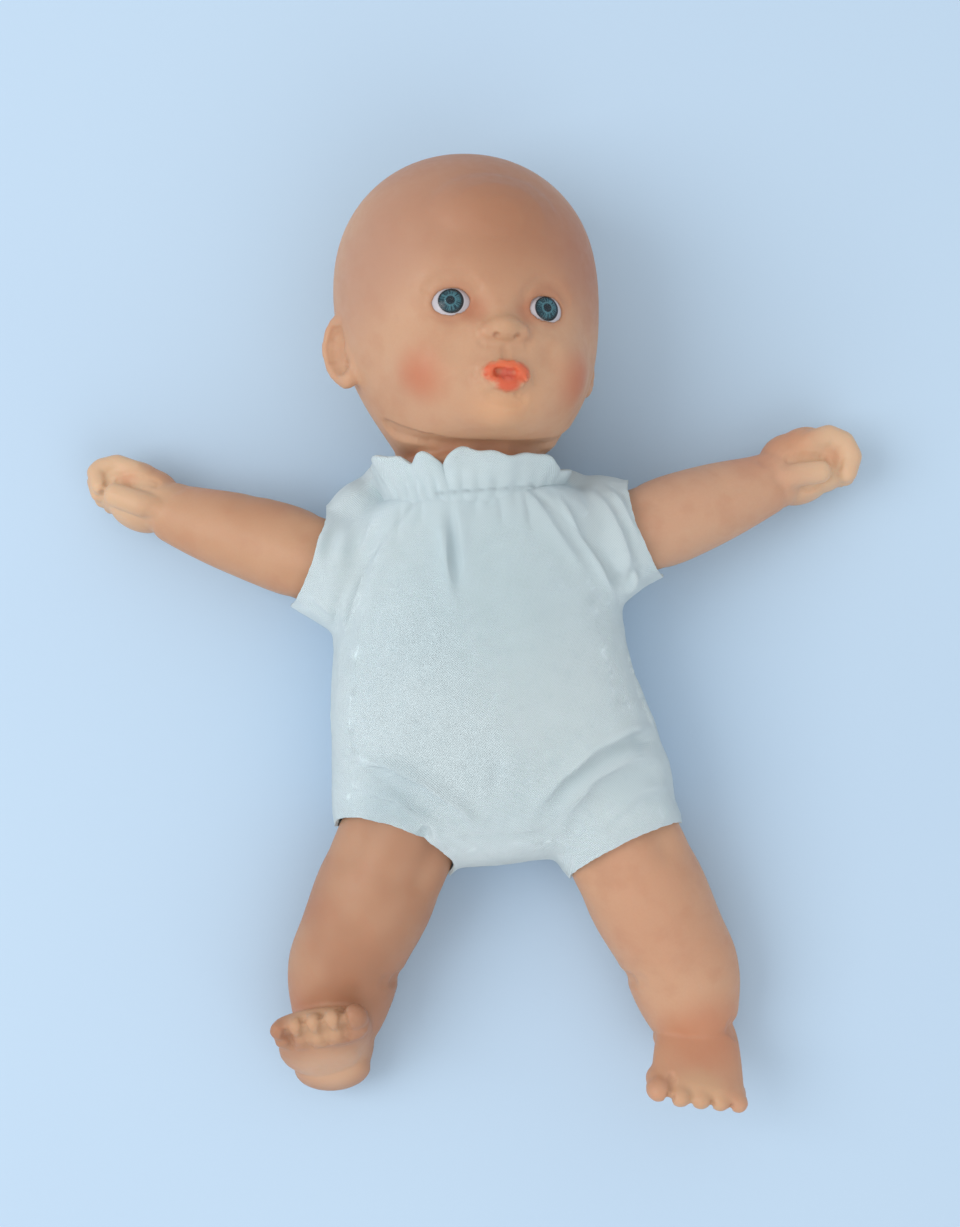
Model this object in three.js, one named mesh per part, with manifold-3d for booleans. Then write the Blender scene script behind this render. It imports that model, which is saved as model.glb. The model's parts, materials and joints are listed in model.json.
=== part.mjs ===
// A small soft-bodied baby doll that lies on its back: a stuffed cloth body with a hollow vinyl head,
// arms and legs tied into it. Millimetres. +Z is up out of the belly, +Y runs to the crown, and +X is the
// doll's own left. The origin is on the flat of the back, under the chest.
import * as THREE from 'three';
import { mergeVertices } from 'three/addons/utils/BufferGeometryUtils.js';
import Module from 'manifold-3d';

const wasm = await Module();
wasm.setup();

// Clearances and walls
const gap = 0.3;
const fillingGap = 0.8;
const clothThickness = 1.0;
const vinylWall = 2.2;
const tieThickness = 1.1;
const tieWidth = 2.4;
const plugThickness = 1.6;
const restDepth = 0.5;

// Cloth body: half width, top and bottom at places along its length
const neckEdgeY = 25.5;
const armpitY = -5;
const waistY = -8;
const hipY = -40;
const crotchY = -46;
const bodyEndY = -54;
const neckEdgeHalfWidth = 19;
const chestHalfWidth = 30.8;
const waistHalfWidth = 31.2;
const hipHalfWidth = 36.5;
const bodyEndHalfWidth = 18;
const chestHeight = 40.5;
const bellyHeight = 39.5;
const hipHeight = 34.5;
const sideSeamHeight = 17;
const gussetHalfWidth = 8;
const raglanTopX = 10.5;
const raglanMiddle = [24, 11];
const raglanArmpitX = 31;
const hipSeamSide = [31, -27];

// Neck joint and the head's pose on it
const neckPivot = [-1.8, 24.2, 25.9];
const headYaw = 15.9;
const headPitch = 9.4;
const headRoll = 2;
const neckRadius = 14.0;
const neckGrooveRadius = 12.6;
const neckFlangeRadius = 13.9;
const neckGrooveWidth = 3.4;
const neckFlangeThickness = 2.4;
const ruffleHeight = 5.9;
const ruffleFlare = 2.4;
const ruffleFolds = 9;
const ruffleWave = 0.9;

// Head, in its own frame about the skull's centre: x to the doll's left, y to the crown, z out of the face
const skullAboveNeck = 40;
const skullBeforeNeck = 11;
const skullHalfWidth = 27.4;
const crownHeight = 30.7;
const skullBack = 29.6;
const browDepth = 26.3;
const cheekHalfWidth = 25.6;
const cheekDepth = 25.0;
const chinDrop = 33;
const chinDepth = 22.4;
const jawHalfWidth = 18.8;
const eyeSpacing = 19.6;
const eyeDrop = 8.3;
const eyeHalfWidth = 5.3;
const eyeHalfHeight = 3.9;
const eyeHalfDepth = 2.2;
const eyeSeatDepth = 1.5;
const irisRadius = 2.65;
const irisThickness = 0.3;
const lensHeight = 0.9;
const noseDrop = 14.3;
const noseHalfWidth = 2.6;
const noseHeight = 3.6;
const mouthDrop = 23.3;
const mouthHalfWidth = 4.6;
const mouthRecessDepth = 1.6;
const earDrop = 12.0;
const earHalfHeight = 6.9;
const earHalfDepth = 4.2;
const earStandOff = 3.3;

// Arms: the left one and the right one differ only in how they lie
const armPivotX = 34.6;
const armPivotY = 14.4;
const armPivotZ = 19;
const armPitch = 12;
const armSwing = { left: 14.5, right: 25 };
const armTurn = { left: 0, right: -22 };
const armGrooveRadius = 7.4;
const armRadius = 9.5;
const elbowRadius = 8.6;
const wristRadius = 5.6;
const forearmLength = 34;
const handLength = 17.8;
const fingerRadius = 2.15;
const thumbRadius = 2.5;

// Legs: the two differ in how they splay and how the foot leans
const legPivot = { left: [25.6, -52.6, 17.2], right: [-23.5, -48.4, 17.2] };
const legSplay = { left: 21, right: 28 };
const legPitch = { left: 9, right: 11 };
const footLean = { left: 16, right: -38 };
const footSkew = { left: -40, right: -38 };
const legGrooveRadius = 10.2;
const thighRadius = 12.9;
const kneeRadius = 11.3;
const calfRadius = 11.1;
const ankleRadius = 8.2;
const thighLength = 25;
const shinLength = 18;
const kneeBend = 15;
const footLength = 28;
const heelLength = 8.5;
const footHalfWidth = 10.2;
const heelHalfWidth = 7.8;
const soleDepth = 9.2;
const toeRadius = 2.4;
const bigToeRadius = 2.9;
const limbGrooveWidth = 3.2;
const limbFlangeThickness = 2.2;

// Mesh fineness
const bodySides = 24;
const neckSides = 20;
const fillingSides = 14;
const skullSides = 24;
const hollowSides = 12;
const limbSides = 14;
const smallSides = 8;
const eyeSides = 10;
const digitSides = 6;

// Materials
function finish(colour, roughness, options = {}) {
  return new THREE.MeshStandardMaterial({ color: colour, roughness, metalness: 0, ...options });
}
const vinyl = finish(0xd9a785, 0.55);
const cotton = finish(0xdfe9ea, 0.95);
const filling = finish(0xf2f0ea, 1.0);
const nylon = finish(0xe8e6e0, 0.45);
const plugPlastic = finish(0xe9e2d6, 0.6);
const eyeWhite = finish(0xe6dfd8, 0.25);
const irisPaint = finish(0x3e7c8a, 0.3);
const clearPlastic = finish(0xffffff, 0.05, { transparent: true, opacity: 0.3 });

// Closed geometry helpers
function signedVolume(geometry) {
  const position = geometry.getAttribute('position');
  const index = geometry.getIndex();
  const a = new THREE.Vector3();
  const b = new THREE.Vector3();
  const c = new THREE.Vector3();
  let total = 0;
  for (let i = 0; i < index.count; i += 3) {
    a.fromBufferAttribute(position, index.getX(i));
    b.fromBufferAttribute(position, index.getX(i + 1));
    c.fromBufferAttribute(position, index.getX(i + 2));
    total += a.dot(b.cross(c)) / 6;
  }
  return total;
}

function facingOut(geometry) {
  if (signedVolume(geometry) < 0) {
    const index = geometry.getIndex();
    for (let i = 0; i < index.count; i += 3) {
      const first = index.getX(i);
      index.setX(i, index.getX(i + 1));
      index.setX(i + 1, first);
    }
  }
  return geometry;
}

function positionOnly(geometry) {
  const bare = geometry.clone();
  bare.deleteAttribute('normal');
  bare.deleteAttribute('uv');
  return mergeVertices(bare, 1e-4);
}

function toSolid(geometry, matrix = null) {
  const bare = positionOnly(geometry);
  if (matrix) bare.applyMatrix4(matrix);
  facingOut(bare);
  const vertProperties = new Float32Array(bare.getAttribute('position').array);
  const triVerts = new Uint32Array(bare.getIndex().array);
  return new wasm.Manifold(new wasm.Mesh({ numProp: 3, vertProperties, triVerts }));
}

function fromSolid(solid) {
  const mesh = solid.getMesh();
  const geometry = new THREE.BufferGeometry();
  geometry.setAttribute('position', new THREE.Float32BufferAttribute(mesh.vertProperties, 3));
  geometry.setIndex(Array.from(mesh.triVerts));
  return geometry;
}

// The same closed form with every point moved in along its normal
function drawnIn(geometry, distance) {
  const bare = facingOut(positionOnly(geometry));
  bare.computeVertexNormals();
  const position = bare.getAttribute('position');
  const normal = bare.getAttribute('normal');
  const point = new THREE.Vector3();
  const out = new THREE.Vector3();
  for (let i = 0; i < position.count; i += 1) {
    point.fromBufferAttribute(position, i);
    out.fromBufferAttribute(normal, i);
    point.addScaledVector(out, -distance);
    position.setXYZ(i, point.x, point.y, point.z);
  }
  bare.deleteAttribute('normal');
  return bare;
}

function joined(solids) {
  return solids.reduce((whole, solid) => whole.add(solid));
}

// A skin through rings of points, closed at both ends by a fan
function skin(rings) {
  const sides = rings[0].length;
  const points = rings.flat();
  const faces = [];
  for (let r = 0; r + 1 < rings.length; r += 1) {
    for (let s = 0; s < sides; s += 1) {
      const a = r * sides + s;
      const b = r * sides + ((s + 1) % sides);
      faces.push(a, b, a + sides, b, b + sides, a + sides);
    }
  }
  for (const ring of [0, rings.length - 1]) {
    const middle = new THREE.Vector3();
    rings[ring].forEach((point) => middle.add(point));
    points.push(middle.divideScalar(sides));
    for (let s = 0; s < sides; s += 1) {
      const a = ring * sides + s;
      const b = ring * sides + ((s + 1) % sides);
      if (ring === 0) faces.push(points.length - 1, b, a);
      else faces.push(points.length - 1, a, b);
    }
  }
  const geometry = new THREE.BufferGeometry().setFromPoints(points);
  geometry.setIndex(faces);
  return geometry;
}

function rounded(angle, power) {
  const c = Math.cos(angle);
  const s = Math.sin(angle);
  return [Math.sign(c) * Math.abs(c) ** (2 / power), Math.sign(s) * Math.abs(s) ** (2 / power)];
}

function spun(profile, sides) {
  return new THREE.LatheGeometry(profile.map(([radius, along]) => new THREE.Vector2(radius, along)), sides);
}

function blob(centre, halves, sides = smallSides) {
  const geometry = new THREE.SphereGeometry(1, sides, Math.round(sides * 0.7));
  geometry.scale(...halves);
  geometry.translate(...centre);
  return geometry;
}

// A round-ended finger along a smooth line through its points
function digit(points, radius) {
  const line = new THREE.CatmullRomCurve3(points.map((point) => new THREE.Vector3(...point)));
  const steps = 4;
  const frames = line.computeFrenetFrames(steps);
  const rings = [];
  const ringAt = (at, step, size) => {
    const ring = [];
    for (let s = 0; s < digitSides; s += 1) {
      const angle = (s / digitSides) * Math.PI * 2;
      const point = at.clone();
      point.addScaledVector(frames.normals[step], Math.cos(angle) * radius * size);
      point.addScaledVector(frames.binormals[step], Math.sin(angle) * radius * size);
      ring.push(point);
    }
    rings.push(ring);
  };
  for (let step = 0; step <= steps; step += 1) ringAt(line.getPointAt(step / steps), step, 1);
  const tip = line.getPointAt(1);
  ringAt(tip.clone().addScaledVector(frames.tangents[steps], radius * 0.75), steps, 0.6);
  return skin(rings);
}

// Everything rests on the plane z = 0. The cutting block is larger than the doll.
const cutterSpan = 400;
const cutterDepth = 40;
function below(height) {
  const block = new THREE.BoxGeometry(cutterSpan, cutterSpan, cutterDepth);
  block.translate(0, 0, height - cutterDepth / 2);
  return toSolid(block);
}
const underFloor = below(0);

const doll = new THREE.Group();

function place(group, name, solid, material) {
  group.updateMatrixWorld(true);
  const geometry = fromSolid(solid);
  geometry.applyMatrix4(group.matrixWorld.clone().invert());
  const mesh = new THREE.Mesh(geometry, material);
  mesh.name = name;
  group.add(mesh);
}

function posedGroup(position, degrees, order) {
  const group = new THREE.Group();
  const [x, y, z] = degrees.map(THREE.MathUtils.degToRad);
  group.position.set(...position);
  group.rotation.set(x, y, z, order);
  group.updateMatrixWorld(true);
  doll.add(group);
  return group;
}

// Head frame: turned, tipped back and leaned over on the neck
const headGroup = posedGroup(neckPivot, [-headPitch, headYaw, -headRoll], 'ZXY');
const headMatrix = headGroup.matrixWorld;

// The skull by heights: y, half width, front and back, from the skull's centre
const skullStations = [
  [crownHeight, 0.6, 0.2, -1.4],
  [crownHeight - 0.9, 7.6, 5.2, -9.5],
  [crownHeight - 3.6, skullHalfWidth * 0.52, 12, -16.5],
  [crownHeight - 9, skullHalfWidth * 0.76, 18.8, -23.2],
  [crownHeight - 18, skullHalfWidth * 0.94, browDepth - 1.9, -skullBack + 1.2],
  [crownHeight - 28, skullHalfWidth, browDepth, -skullBack],
  [-eyeDrop, skullHalfWidth * 0.975, browDepth - 1.6, -skullBack + 1.6],
  [-14, cheekHalfWidth, cheekDepth, -27],
  [-mouthDrop + 1, (cheekHalfWidth + jawHalfWidth) / 2 + 0.8, cheekDepth, -25],
  [-27.5, jawHalfWidth, chinDepth + 0.9, -24],
  [-chinDrop + 2, jawHalfWidth - 3.4, chinDepth - 1.6, -24],
  [-chinDrop, neckRadius, 13, -24.4],
  [-chinDrop - 1.2, neckRadius - 2, 3, -23],
];
const skullMiddle = -3;
const skullPower = 2.15;

function headSkin(sides) {
  const rings = skullStations.map(([y, halfWidth, front, back]) => {
    const ring = [];
    for (let s = 0; s < sides; s += 1) {
      const [u, v] = rounded((s / sides) * Math.PI * 2, skullPower);
      const reach = v > 0 ? front - skullMiddle : skullMiddle - back;
      ring.push(new THREE.Vector3(u * halfWidth, y + skullAboveNeck, skullMiddle + v * reach + skullBeforeNeck));
    }
    return ring;
  });
  return skin(rings);
}

function faceDepth(x, y) {
  const low = skullStations.findIndex((row) => row[0] <= y);
  const above = skullStations[low - 1];
  const below = skullStations[low];
  const t = (above[0] - y) / (above[0] - below[0]);
  const halfWidth = THREE.MathUtils.lerp(above[1], below[1], t);
  const front = THREE.MathUtils.lerp(above[2], below[2], t);
  const side = 1 - (Math.abs(x) / halfWidth) ** skullPower;
  return skullMiddle + (front - skullMiddle) * side ** (1 / skullPower);
}

// A point given from the skull's centre, in the head's own frame
function onHead(x, y, z) {
  return [x, y + skullAboveNeck, z + skullBeforeNeck];
}

const neckLow = -neckGrooveWidth / 2 - neckFlangeThickness;
const neckProfile = [
  [0, neckLow],
  [neckFlangeRadius - 0.8, neckLow],
  [neckFlangeRadius, neckLow + 0.7],
  [neckFlangeRadius, -neckGrooveWidth / 2],
  [neckGrooveRadius, -neckGrooveWidth / 2],
  [neckGrooveRadius, neckGrooveWidth / 2],
  [neckRadius, neckGrooveWidth / 2],
  [neckRadius, skullAboveNeck - 28],
  [0, skullAboveNeck - 28],
];
const neckBoreRadius = neckGrooveRadius - vinylWall;
const neckBore = [[0, neckLow - 3], [neckBoreRadius, neckLow - 3], [neckBoreRadius, skullAboveNeck - 20], [0, skullAboveNeck - 20]];

// The eyes are set a little deep in the face and look along its front
const eyeAxisOut = 12;
function eyeMatrix(side) {
  const x = (side * eyeSpacing) / 2;
  const depth = faceDepth(x, -eyeDrop);
  const local = new THREE.Matrix4().makeRotationY(THREE.MathUtils.degToRad(side * eyeAxisOut));
  local.setPosition(...onHead(x, -eyeDrop, depth));
  return headMatrix.clone().multiply(local);
}

const irisFloor = eyeHalfDepth - eyeSeatDepth - irisThickness - gap * 2 - 0.4;
const irisPocket = [[0, irisFloor - gap], [irisRadius + gap, irisFloor - gap], [irisRadius + gap, 6], [0, 6]];
const irisDisc = [[0, irisFloor], [irisRadius, irisFloor], [irisRadius, irisFloor + irisThickness], [0, irisFloor + irisThickness]];
const lensFloor = irisFloor + irisThickness + gap;
const lensDome = [
  [0, lensFloor],
  [irisRadius, lensFloor],
  [irisRadius, lensFloor + lensHeight * 0.3],
  [irisRadius * 0.8, lensFloor + lensHeight * 0.66],
  [irisRadius * 0.45, lensFloor + lensHeight * 0.92],
  [0, lensFloor + lensHeight],
];

function alongFace(profile, sides) {
  return spun(profile, sides).rotateX(Math.PI / 2);
}

function makeHead() {
  const noseDepth = faceDepth(0, -noseDrop);
  const mouthDepth = faceDepth(0, -mouthDrop);
  const outside = [toSolid(headSkin(skullSides), headMatrix), toSolid(spun(neckProfile, neckSides), headMatrix)];
  outside.push(toSolid(blob(onHead(0, -noseDrop + 0.4, noseDepth), [noseHalfWidth, 3.2, noseHeight]), headMatrix));
  for (const side of [-1, 1]) {
    const wing = blob(onHead(side * noseHalfWidth, -noseDrop - 0.5, noseDepth), [2.2, 2.0, 2.4], digitSides);
    outside.push(toSolid(wing, headMatrix));
    const ear = blob([0, 0, 0], [earStandOff, earHalfHeight, earHalfDepth]);
    ear.rotateY(THREE.MathUtils.degToRad(side * 18));
    ear.translate(...onHead(side * (skullHalfWidth - 0.4), -earDrop, -2.4));
    outside.push(toSolid(ear, headMatrix));
  }
  outside.push(toSolid(blob(onHead(0, -mouthDrop + 0.9, mouthDepth), [mouthHalfWidth, 2, 1.9]), headMatrix));
  outside.push(toSolid(blob(onHead(0, -mouthDrop - 1.6, mouthDepth), [mouthHalfWidth * 0.8, 1.8, 1.8]), headMatrix));
  let head = joined(outside);
  const cavity = toSolid(drawnIn(headSkin(hollowSides), vinylWall), headMatrix);
  head = head.subtract(cavity).subtract(toSolid(spun(neckBore, neckSides), headMatrix));
  const recess = blob(onHead(0, -mouthDrop - 0.2, mouthDepth + 1.9), [mouthHalfWidth * 0.5, 1.0, mouthRecessDepth], digitSides);
  head = head.subtract(toSolid(recess, headMatrix));
  for (const side of [-1, 1]) {
    const concha = blob(onHead(side * (skullHalfWidth + earStandOff - 0.2), -earDrop + 0.6, -1.4), [1.2, 3.4, 1.9], digitSides);
    head = head.subtract(toSolid(concha, headMatrix));
    const halves = [eyeHalfWidth + gap, eyeHalfHeight + gap, eyeHalfDepth + gap];
    const socket = blob([0, 0, -eyeSeatDepth], halves, eyeSides);
    head = head.subtract(toSolid(socket, eyeMatrix(side)));
  }
  place(headGroup, 'head_shell', head.subtract(underFloor), vinyl);
  for (const [label, side] of [['left', 1], ['right', -1]]) {
    const matrix = eyeMatrix(side);
    const white = toSolid(blob([0, 0, -eyeSeatDepth], [eyeHalfWidth, eyeHalfHeight, eyeHalfDepth], eyeSides), matrix);
    const pocket = toSolid(alongFace(irisPocket, eyeSides), matrix);
    place(headGroup, `eye_white_${label}`, white.subtract(pocket), eyeWhite);
    place(headGroup, `iris_${label}`, toSolid(alongFace(irisDisc, eyeSides), matrix), irisPaint);
    place(headGroup, `eye_lens_${label}`, toSolid(alongFace(lensDome, eyeSides), matrix), clearPlastic);
  }
}

// A tie drawn tight round a groove
function tieSolid(grooveRadius, matrix, sides) {
  const inner = grooveRadius + gap;
  const outer = inner + tieThickness;
  const half = tieWidth / 2;
  const ring = spun([[inner, -half], [outer, -half], [outer, half], [inner, half], [inner, -half]], sides);
  return toSolid(ring, matrix);
}

// A plug: a disc in the bore with a rim over the flange's end face
function plugSolid(boreRadius, flangeRadius, faceAt, matrix, sides) {
  const low = faceAt - gap - plugThickness;
  const inBore = boreRadius - gap;
  const profile = [
    [0, low],
    [flangeRadius - 1, low],
    [flangeRadius - 1, faceAt - gap],
    [inBore, faceAt - gap],
    [inBore, faceAt + plugThickness],
    [0, faceAt + plugThickness],
  ];
  return toSolid(spun(profile, sides), matrix);
}

// Cloth round the neck: a tube whose upper edge flares into soft folds
const ruffleInner = neckGrooveRadius + gap + tieThickness + gap;
const ruffleLow = neckLow;
const ruffleSides = ruffleFolds * 4;
function ruffleSkin() {
  const profile = [
    [clothThickness, ruffleLow, 0],
    [clothThickness, neckGrooveWidth * 0.4, 0],
    [clothThickness + ruffleFlare * 0.6, ruffleHeight * 0.6, 0.6],
    [clothThickness + ruffleFlare, ruffleHeight, 1],
    [ruffleFlare, ruffleHeight - 0.2, 1],
    [ruffleFlare * 0.6, ruffleHeight * 0.6, 0.6],
    [0, neckGrooveWidth * 0.4, 0],
    [0, ruffleLow, 0],
  ];
  const points = [];
  const faces = [];
  for (let s = 0; s < ruffleSides; s += 1) {
    const angle = (s / ruffleSides) * Math.PI * 2;
    const wave = Math.cos(angle * ruffleFolds) * ruffleWave;
    for (const [out, along, waveShare] of profile) {
      const radius = ruffleInner + out + wave * waveShare;
      points.push(new THREE.Vector3(Math.cos(angle) * radius, along, Math.sin(angle) * radius));
    }
  }
  const rows = profile.length;
  for (let s = 0; s < ruffleSides; s += 1) {
    for (let k = 0; k < rows; k += 1) {
      const a = s * rows + k;
      const b = s * rows + ((k + 1) % rows);
      const c = ((s + 1) % ruffleSides) * rows + k;
      const d = ((s + 1) % ruffleSides) * rows + ((k + 1) % rows);
      faces.push(a, b, c, b, d, c);
    }
  }
  const geometry = new THREE.BufferGeometry().setFromPoints(points);
  geometry.setIndex(faces);
  return geometry;
}

// The hole that the collar stands in, as wide as the collar at every height
const neckHoleRadius = ruffleInner + clothThickness + gap;
const neckHole = [
  [0, ruffleLow - 1],
  [neckHoleRadius, ruffleLow - 1],
  [neckHoleRadius, neckGrooveWidth * 0.4],
  [neckHoleRadius + (ruffleFlare + ruffleWave) * 0.6, ruffleHeight * 0.6],
  [neckHoleRadius + ruffleFlare + ruffleWave, ruffleHeight],
  [neckHoleRadius + ruffleFlare + ruffleWave, 30],
  [0, 30],
];

// The cloth body by places along it: y, half width, top and bottom
const bodyStations = [
  [neckEdgeY, neckEdgeHalfWidth, 43.4, 12.6],
  [neckEdgeY - 5, (neckEdgeHalfWidth + chestHalfWidth) / 2 + 1.6, chestHeight + 1.6, 5.6],
  [neckEdgeY - 13, chestHalfWidth, chestHeight + 0.4, 0.6],
  [2, chestHalfWidth + 0.2, chestHeight, -restDepth],
  [waistY, waistHalfWidth, bellyHeight, -restDepth],
  [(waistY + hipY) / 2, (waistHalfWidth + hipHalfWidth) / 2, bellyHeight - 0.4, -restDepth],
  [hipY + 5, hipHalfWidth - 0.4, hipHeight + 2.4, -restDepth],
  [hipY - 3, hipHalfWidth, hipHeight - 1, -restDepth],
  [bodyEndY + 4.5, hipHalfWidth - 5, hipHeight - 5.5, 2],
  [bodyEndY, bodyEndHalfWidth, hipHeight - 12, 9],
];
const bodyPower = 2.3;

function bodySkin(sides) {
  const rings = bodyStations.map(([y, halfWidth, top, bottom]) => {
    const ring = [];
    for (let s = 0; s < sides; s += 1) {
      const [u, v] = rounded((s / sides) * Math.PI * 2, bodyPower);
      ring.push(new THREE.Vector3(u * halfWidth, y, (top + bottom) / 2 + (v * (top - bottom)) / 2));
    }
    return ring;
  });
  return skin(rings);
}

// Limb frames. An arm runs along its own +x, a leg along its own -y.
function armMatrix(label) {
  const side = label === 'left' ? 1 : -1;
  const group = armGroups[label];
  return { side, matrix: group.matrixWorld };
}

const armGroups = {
  left: posedGroup([armPivotX, armPivotY, armPivotZ], [armTurn.left, armPitch, armSwing.left], 'ZYX'),
  right: posedGroup([-armPivotX, armPivotY, armPivotZ], [armTurn.right, -armPitch, -armSwing.right], 'ZYX'),
};
const legGroups = {
  left: posedGroup(legPivot.left, [legPitch.left, 0, legSplay.left], 'ZXY'),
  right: posedGroup(legPivot.right, [legPitch.right, 0, -legSplay.right], 'ZXY'),
};

// Tube of the sleeve or the leg casing, round the limb's root. Its places count outward from the pivot.
const edgeAt = 2;
const clearReach = 22;
const armTieOuter = armGrooveRadius + gap + tieThickness;
const legTieOuter = legGrooveRadius + gap + tieThickness;
const sleeveTube = [[-17, 12.4], [-10, 13.4], [-5, 12.2], [-1.5, armTieOuter + gap + clothThickness + 0.7],
  [edgeAt, armTieOuter + gap + clothThickness]];
const casingTube = [[-20, 12.5], [-12, 14.2], [-6, 14.2], [-1.5, legTieOuter + gap + clothThickness + 0.6],
  [edgeAt, legTieOuter + gap + clothThickness]];

// No cloth reaches past the edge of its own opening
function pastEdge(matrix, alongX, side) {
  const stations = [[edgeAt, clearReach], [edgeAt + clearReach * 2, clearReach]];
  return tubeSolid(stations, 0, matrix, alongX, side);
}

function tubeSolid(stations, inset, matrix, alongX, side) {
  const rows = stations.map(([at, radius]) => [at, radius - inset]);
  rows[rows.length - 1][0] += inset;
  rows[0][0] += inset;
  const rings = rows.map(([at, radius]) => {
    const ring = [];
    for (let s = 0; s < limbSides; s += 1) {
      const angle = (s / limbSides) * Math.PI * 2;
      const u = Math.cos(angle) * radius;
      const v = Math.sin(angle) * radius;
      ring.push(alongX ? new THREE.Vector3(side * at, u, v) : new THREE.Vector3(u, -at, v));
    }
    return ring;
  });
  return toSolid(skin(rings), matrix);
}

// Seam lines seen from above, for the doll's left; the right is their mirror image
const seamReach = 70;
const raglanLine = [[raglanTopX, seamReach], [raglanTopX, neckEdgeY], raglanMiddle, [raglanArmpitX, armpitY], [seamReach, armpitY - 7]];
const hipLine = [[seamReach, hipSeamSide[1]], hipSeamSide, [gussetHalfWidth, crotchY]];

function mirrored(points, side) {
  return points.map(([x, y]) => [x * side, y]);
}

// A region inside a seam line, drawn in by half the gap so that neighbours stay apart
function region(points, low, high) {
  const inset = gap / 2;
  const turn = Math.sign(points.reduce((sum, [x, y], i) => {
    const [nextX, nextY] = points[(i + 1) % points.length];
    return sum + x * nextY - nextX * y;
  }, 0));
  const count = points.length;
  const corners = points.map(([x, y], i) => {
    const [px, py] = points[(i + count - 1) % count];
    const [nx, ny] = points[(i + 1) % count];
    const before = new THREE.Vector2(x - px, y - py).normalize();
    const after = new THREE.Vector2(nx - x, ny - y).normalize();
    const inBefore = new THREE.Vector2(-before.y, before.x).multiplyScalar(turn);
    const inAfter = new THREE.Vector2(-after.y, after.x).multiplyScalar(turn);
    const bisector = inBefore.clone().add(inAfter).normalize();
    return new THREE.Vector2(x, y).addScaledVector(bisector, inset / bisector.dot(inAfter));
  });
  const block = new THREE.ExtrudeGeometry(new THREE.Shape(corners), { depth: high - low, bevelEnabled: false });
  block.translate(0, 0, low);
  return toSolid(block);
}

function makeCloth() {
  const outer = [toSolid(bodySkin(bodySides))];
  let core = toSolid(drawnIn(bodySkin(bodySides), clothThickness)).subtract(below(clothThickness * 0.8));
  let trimmed = underFloor;
  for (const label of ['left', 'right']) {
    const arm = armMatrix(label);
    outer.push(tubeSolid(sleeveTube, 0, arm.matrix, true, arm.side));
    core = core.add(tubeSolid(sleeveTube, clothThickness, arm.matrix, true, arm.side));
    outer.push(tubeSolid(casingTube, 0, legGroups[label].matrixWorld, false, 1));
    core = core.add(tubeSolid(casingTube, clothThickness, legGroups[label].matrixWorld, false, 1));
    trimmed = trimmed.add(pastEdge(arm.matrix, true, arm.side)).add(pastEdge(legGroups[label].matrixWorld, false, 1));
  }
  const cloth = joined(outer).subtract(core).subtract(toSolid(spun(neckHole, neckSides), headMatrix)).subtract(trimmed);
  const centre = [...raglanLine, ...hipLine, ...mirrored([...raglanLine, ...hipLine], -1).reverse()];
  place(doll, 'front_panel', cloth.intersect(region(centre, sideSeamHeight + gap / 2, 80)), cotton);
  place(doll, 'back_panel', cloth.intersect(region(centre, -20, sideSeamHeight - gap / 2)), cotton);
  const gusset = [[gussetHalfWidth, crotchY], [gussetHalfWidth, -90], [-gussetHalfWidth, -90], [-gussetHalfWidth, crotchY]];
  place(doll, 'crotch_gusset', cloth.intersect(region(gusset, -20, 80)), cotton);
  for (const [label, side] of [['left', 1], ['right', -1]]) {
    const sleeve = mirrored([...raglanLine, [seamReach, seamReach]], side);
    place(doll, `sleeve_${label}`, cloth.intersect(region(sleeve, -20, 80)), cotton);
    const hip = mirrored([...hipLine, [gussetHalfWidth, -90], [seamReach, -90]], side);
    place(doll, `leg_casing_${label}`, cloth.intersect(region(hip, -20, 80)), cotton);
  }
  place(headGroup, 'neck_ruffle', toSolid(ruffleSkin(), headMatrix), cotton);
}

// Filling: inside the cloth, and clear of where the tied ends move
const hipSweepRadius = thighRadius + 1.2;
const hipSweepLength = 120;
const armSweepRadius = armTieOuter + 2.8;
const neckSweepRadius = neckFlangeRadius + 1.4;
const ballSides = 12;
const ballRows = 8;
function clearBall(centre, radius) {
  const round = radius / (Math.cos(Math.PI / ballSides) * Math.cos(Math.PI / (2 * ballRows)));
  const geometry = new THREE.SphereGeometry(round, ballSides, ballRows);
  geometry.translate(...centre);
  return toSolid(geometry);
}
function makeFilling() {
  let body = toSolid(drawnIn(bodySkin(fillingSides), clothThickness + fillingGap));
  body = body.subtract(below(clothThickness * 0.8 + fillingGap));
  body = body.subtract(clearBall(neckPivot, neckSweepRadius));
  body = body.subtract(toSolid(spun(neckHole, neckSides), headMatrix));
  for (const label of ['left', 'right']) {
    const side = label === 'left' ? 1 : -1;
    const shoulder = [side * armPivotX, armPivotY, armPivotZ];
    body = body.subtract(clearBall(shoulder, armSweepRadius));
    const sweep = new THREE.CylinderGeometry(hipSweepRadius, hipSweepRadius, hipSweepLength, limbSides).rotateX(Math.PI / 2);
    sweep.translate(legPivot[label][0], legPivot[label][1], 40);
    body = body.subtract(toSolid(sweep));
  }
  place(doll, 'torso_stuffing', body, filling);
}

// The root of a vinyl limb: groove for the tie, flange behind it, bore through both
function rootProfile(grooveRadius, flangeRadius, limbRadius, overlap) {
  const face = -limbGrooveWidth / 2 - limbFlangeThickness;
  return [
    [0, face],
    [flangeRadius - 0.6, face],
    [flangeRadius, face + 0.6],
    [flangeRadius, -limbGrooveWidth / 2],
    [grooveRadius, -limbGrooveWidth / 2],
    [grooveRadius, limbGrooveWidth / 2],
    [limbRadius, limbGrooveWidth / 2],
    [limbRadius, limbGrooveWidth / 2 + overlap],
    [0, limbGrooveWidth / 2 + overlap],
  ];
}

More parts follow.
